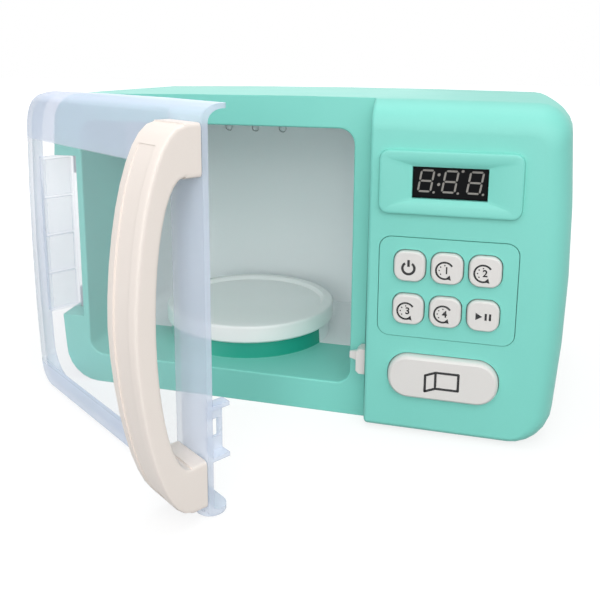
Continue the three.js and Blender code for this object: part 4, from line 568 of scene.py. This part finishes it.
def digit(form, x, z, height, text):
    """One printed digit of this height in millimetres."""
    curve = bpy.data.curves.new("digit_" + text, "FONT")
    curve.body = text
    curve.size = height * LETTER_SHARE
    curve.offset = DIGIT_BOLDNESS
    curve.align_x = "CENTER"
    curve.align_y = "CENTER"
    stand_in = bpy.data.objects.new("digit_" + text, curve)
    flat = bpy.data.meshes.new_from_object(stand_in)
    flat.transform(upright(x, z))
    form.from_mesh(flat)
    bpy.data.objects.remove(stand_in)


def printed(form, name, node, material=None):
    """Lays a flat drawing on the front of a piece and gives it the thickness of ink."""
    carrier_form = bmesh.new()
    carrier_form.from_mesh(frame["nodes"][node].data)
    carrier = BVHTree.FromBMesh(carrier_form)
    carrier_form.free()
    for vert in form.verts:
        hit = carrier.ray_cast(Vector((vert.co.x, -1, vert.co.z)), Vector((0, 1, 0)))[0]
        vert.co.y = hit.y + INK_BURIED
    bmesh.ops.remove_doubles(form, verts=form.verts, dist=MERGE_DISTANCE)
    lifted = bmesh.ops.extrude_face_region(form, geom=form.faces[:], use_keep_orig=True)["geom"]
    raised = [part for part in lifted if isinstance(part, bmesh.types.BMVert)]
    bmesh.ops.translate(form, verts=raised, vec=(0, -INK_BURIED - INK_PROUD, 0))
    bmesh.ops.recalc_face_normals(form, faces=form.faces)
    return finished(form, name, frame["nodes"][node]["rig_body"], "black_plastic", material=material)


# %% [markdown]
# The top left key has the sign for power, and the lower right one has the signs for start and pause. The
# four between them set a time: each has an arrow that runs round a number, with small ticks beside it as
# on a clock.

# %% Signs on the keys
def middle(node):
    """The middle of a piece as x and z in millimetres."""
    low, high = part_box(node)
    return (low.x + high.x) / 2 / MM, (low.z + high.z) / 2 / MM


def around(angle, radius):
    """The way from a middle to a point at this angle, clockwise from the top."""
    return math.sin(math.radians(angle)) * radius, math.cos(math.radians(angle)) * radius


SIGN_HEIGHT = 3.4
POWER_LINE = 1.2
POWER_RADIUS = 2.9
POWER_START = 35
POWER_TURN = 290
x, z = middle("power_button")
x -= 0.4
power = bmesh.new()
ring(power, x, z - 0.8, POWER_RADIUS, POWER_LINE, POWER_START, POWER_TURN)
bar(power, x, z + 1.7, POWER_LINE, SIGN_HEIGHT)
printed(power, "power_sign", "power_button")

RING_RADIUS = 4.1
RING_LINE = 0.9
RING_START = 56
RING_TURN = -266
ARROW_SIZE = 1.5
TICK_RADIUS = 2.6
TICK_SIZE = 0.35
TICK_ANGLES = (0, -48, -90, -134)
TIMES = (1, 2, 3, 4)
for number in TIMES:
    node = f"time_button_{number}"
    x, z = middle(node)
    x -= 1
    z -= 0.6
    sign = bmesh.new()
    ring(sign, x, z, RING_RADIUS, RING_LINE, RING_START, RING_TURN)
    tip_x, tip_z = around(RING_START + RING_TURN, RING_RADIUS)
    disc(sign, x + tip_x, z + tip_z, ARROW_SIZE, corners=3, turn=15)
    for angle in TICK_ANGLES:
        tick_x, tick_z = around(angle, TICK_RADIUS)
        disc(sign, x + tick_x, z + tick_z, TICK_SIZE, corners=8)
    digit(sign, x + 0.9, z, SIGN_HEIGHT, str(number))
    printed(sign, f"time_sign_{number}", node)

START_SIZE = 2.1
PAUSE_LINE = 1.05
x, z = middle("start_button")
start = bmesh.new()
disc(start, x - 2.4, z, START_SIZE, corners=3, turn=90)
bar(start, x + 1.3, z, PAUSE_LINE, SIGN_HEIGHT)
bar(start, x + 3.3, z, PAUSE_LINE, SIGN_HEIGHT)
printed(start, "start_sign", "start_button")
print("key signs:", len(TIMES) + 2)

# %% [markdown]
# The big button lets the door go. Its sign is a plain picture of a frame with a door that stands open,
# drawn with one line of even width.

# %% Sign on the big button
LINE = 1.2
FRAME_HALF = 5.5
FRAME_RISE = 4.2
DOOR_SWING = 5
DOOR_DROP = 2
SIGN_SHIFT = 2.5


def stroke(form, begin, end):
    """A straight line of the sign between two points, with round ends."""
    across = end[0] - begin[0]
    rise = end[1] - begin[1]
    angle = math.degrees(math.atan2(rise, across))
    length = math.hypot(across, rise)
    bar(form, (begin[0] + end[0]) / 2, (begin[1] + end[1]) / 2, length, LINE, turn=-angle, cuts=6)
    for x, z in (begin, end):
        disc(form, x, z, LINE / 2, corners=12)


def outline(form, points):
    """A closed line through the points."""
    for begin, end in zip(points, points[1:] + points[:1]):
        stroke(form, begin, end)


x, z = middle("open_button")
x += SIGN_SHIFT
hinge_x = x - FRAME_HALF
frame_x = x + FRAME_HALF
swung_x = hinge_x - DOOR_SWING
low = z - FRAME_RISE
high = z + FRAME_RISE
sign = bmesh.new()
outline(sign, [(hinge_x, low), (frame_x, low), (frame_x, high), (hinge_x, high)])
outline(sign, [(hinge_x, low), (hinge_x, high), (swung_x, high - DOOR_DROP), (swung_x, low - DOOR_DROP)])
printed(sign, "open_sign", "open_button")
print("open sign:", round(frame_x - swung_x, 1), "mm wide")

# %% [markdown]
# The display is dark glass with three slanted digits, which look grey because the lamps behind them are
# off. A digit is seven bars with pointed ends. A bar is a grid with its corners cut off, which is what a
# bevel of corners does.

# %% The display's digits
segment_grey = moulded("segment_grey", paint(128, 124, 120), paint(144, 138, 132), 0.45)
DIGIT_SLANT = math.tan(math.radians(9))
DIGIT_WIDTH = 5.9
DIGIT_HEIGHT = 10.2
SEGMENT = 0.95
SEGMENT_GAP = 0.5
POINT_SHARE = 0.49
DIGIT_PLACES = (-11.3, 0, 11.6)
DIGIT_LIFT = 0.7
FULL_STOP = (4.6, -5.4, 0.6)
LONE_DOTS = ((-5.8, 3.2, 0.75), (-5.1, -1.5, 0.75), (4.9, 5.3, 0.7))


def segment(form, x, z, length, upwards):
    """One lamp bar with pointed ends."""
    size = (SEGMENT, length) if upwards else (length, SEGMENT)
    corners = bar(form, x, z, *size, cuts=1)
    cut = {"affect": "VERTICES", "segments": 1, "profile": 0.5, "material": -1}
    bmesh.ops.bevel(form, geom=corners, offset=SEGMENT * POINT_SHARE * MM, **cut)


digits = bmesh.new()
quarter = DIGIT_HEIGHT / 4
for offset in DIGIT_PLACES:
    for row in (-2, 0, 2):
        segment(digits, offset, row * quarter, DIGIT_WIDTH - SEGMENT_GAP, False)
    for side in (-1, 1):
        for row in (-1, 1):
            x = offset + side * DIGIT_WIDTH / 2
            segment(digits, x, row * quarter, DIGIT_HEIGHT / 2 - SEGMENT_GAP, True)
    disc(digits, offset + FULL_STOP[0], FULL_STOP[1], FULL_STOP[2], corners=12)
for x, z, radius in LONE_DOTS:
    disc(digits, x, z, radius, corners=12)
x, z = middle("display_module")
for vert in digits.verts:
    vert.co.x += vert.co.z * DIGIT_SLANT
bmesh.ops.translate(digits, verts=digits.verts, vec=(x * MM, 0, (z + DIGIT_LIFT) * MM))
printed(digits, "display_digits", "display_module", segment_grey)
print("display digits:", len(DIGIT_PLACES))

# %% [markdown]
# The oven stands on a plain pale floor, as for a shop picture. The floor looks white to the camera and in
# reflections. Near the oven only a part of its whiteness is light of its own, so it still darkens there.
# Further out it fades into the white background without a horizon.

# %% The floor
FLOOR_HALF = 6
FADE_START = 0.18
FADE_END = 0.75
OWN_LIGHT = (0.78, 0.78, 0.78, 1)
WHITE = (1, 1, 1, 1)
BLACK = (0, 0, 0, 1)

floor_form = bmesh.new()
bmesh.ops.create_grid(floor_form, x_segments=8, y_segments=8, size=FLOOR_HALF)
floor_mesh = bpy.data.meshes.new("floor")
floor_form.to_mesh(floor_mesh)
floor_form.free()
floor = bpy.data.objects.new("floor", floor_mesh)
bpy.context.scene.collection.objects.link(floor)

paper = Finish("white_paper", {"Roughness": 0.9, "Specular IOR Level": 0.2, "Emission Strength": 1})
looked_at = paper.node("ShaderNodeLightPath", {}, {}, "Is Camera Ray")
mirrored = paper.node("ShaderNodeLightPath", {}, {}, "Is Glossy Ray")
through = paper.node("ShaderNodeLightPath", {}, {}, "Is Transmission Ray")
seen = looked_at.sum("MAXIMUM", looked_at, mirrored.sum("MAXIMUM", mirrored, through))
fibre = paper.noise(500, 3)
paper.feed("Base Color", paper.between(fibre, paint(134, 134, 134), paint(142, 142, 142)))
distance = paper.node("ShaderNodeVectorMath", {"operation": "LENGTH"}, {"Vector": paper.place}, "Value")
faded = paper.rise(distance, FADE_START, FADE_END)
white = paper.between(faded, OWN_LIGHT, WHITE)
paper.feed("Emission Color", paper.between(seen, BLACK, white))
floor_mesh.materials.append(paper.material)
print("floor:", 2 * FLOOR_HALF, "m wide, white from", FADE_END, "m on")

# %% [markdown]
# The room is white to the camera and in reflections as well, but as a lamp it gives only a part of that
# light. One Math node for each kind of ray keeps the larger of two values: the room's light so far, or 1
# for such a ray.

# %% The white room
ROOM_LIGHT = 0.3
world = bpy.data.worlds.new("white_room")
world.use_nodes = True
bpy.context.scene.world = world
background = world.node_tree.nodes["Background"]
sky = world.node_tree.nodes.new("ShaderNodeLightPath")
strength = background.inputs["Strength"]
strength.default_value = ROOM_LIGHT
for kind in ("Is Camera Ray", "Is Glossy Ray", "Is Transmission Ray"):
    larger = world.node_tree.nodes.new("ShaderNodeMath")
    larger.operation = "MAXIMUM"
    larger.inputs[1].default_value = ROOM_LIGHT
    world.node_tree.links.new(sky.outputs[kind], larger.inputs[0])
    if strength.is_linked:
        world.node_tree.links.new(strength.links[0].from_socket, larger.inputs[1])
    world.node_tree.links.new(larger.outputs["Value"], strength)
background.inputs["Color"].default_value = WHITE
print("light of the room:", ROOM_LIGHT)

# %% [markdown]
# Six square softboxes point at the middle of the oven. The largest stands high in front and to the right.
# A low one in front fills the cavity, one hangs above, two stand at the sides, and a weak one behind
# lights the back.

# %% The lamps
AIM = Vector((0, 0, 80 * MM))


def softbox(name, place, size, watts):
    """A square lamp that points at the middle of the oven."""
    lamp = bpy.data.lights.new(name, "AREA")
    lamp.size = size
    lamp.energy = watts
    holder = bpy.data.objects.new(name, lamp)
    bpy.context.scene.collection.objects.link(holder)
    backwards = Vector(place) - AIM
    holder.matrix_world = Matrix.Translation(place) @ backwards.to_track_quat("Z", "Y").to_matrix().to_4x4()


softbox("key_softbox", (0.35, -1.35, 1.05), 1.3, 13)
softbox("fill_softbox", (0.1, -1.7, 0.25), 0.9, 7)
softbox("top_softbox", (0.1, 0, 1.4), 1.1, 7)
softbox("left_softbox", (-1.1, -1.4, 0.8), 1, 5)
softbox("right_softbox", (1.2, -0.9, 0.7), 0.9, 3.5)
softbox("back_softbox", (-0.6, 1.7, 0.8), 1.2, 3)
bpy.context.scene.view_settings.view_transform = "Standard"
print("lamps:", len(bpy.data.lights))
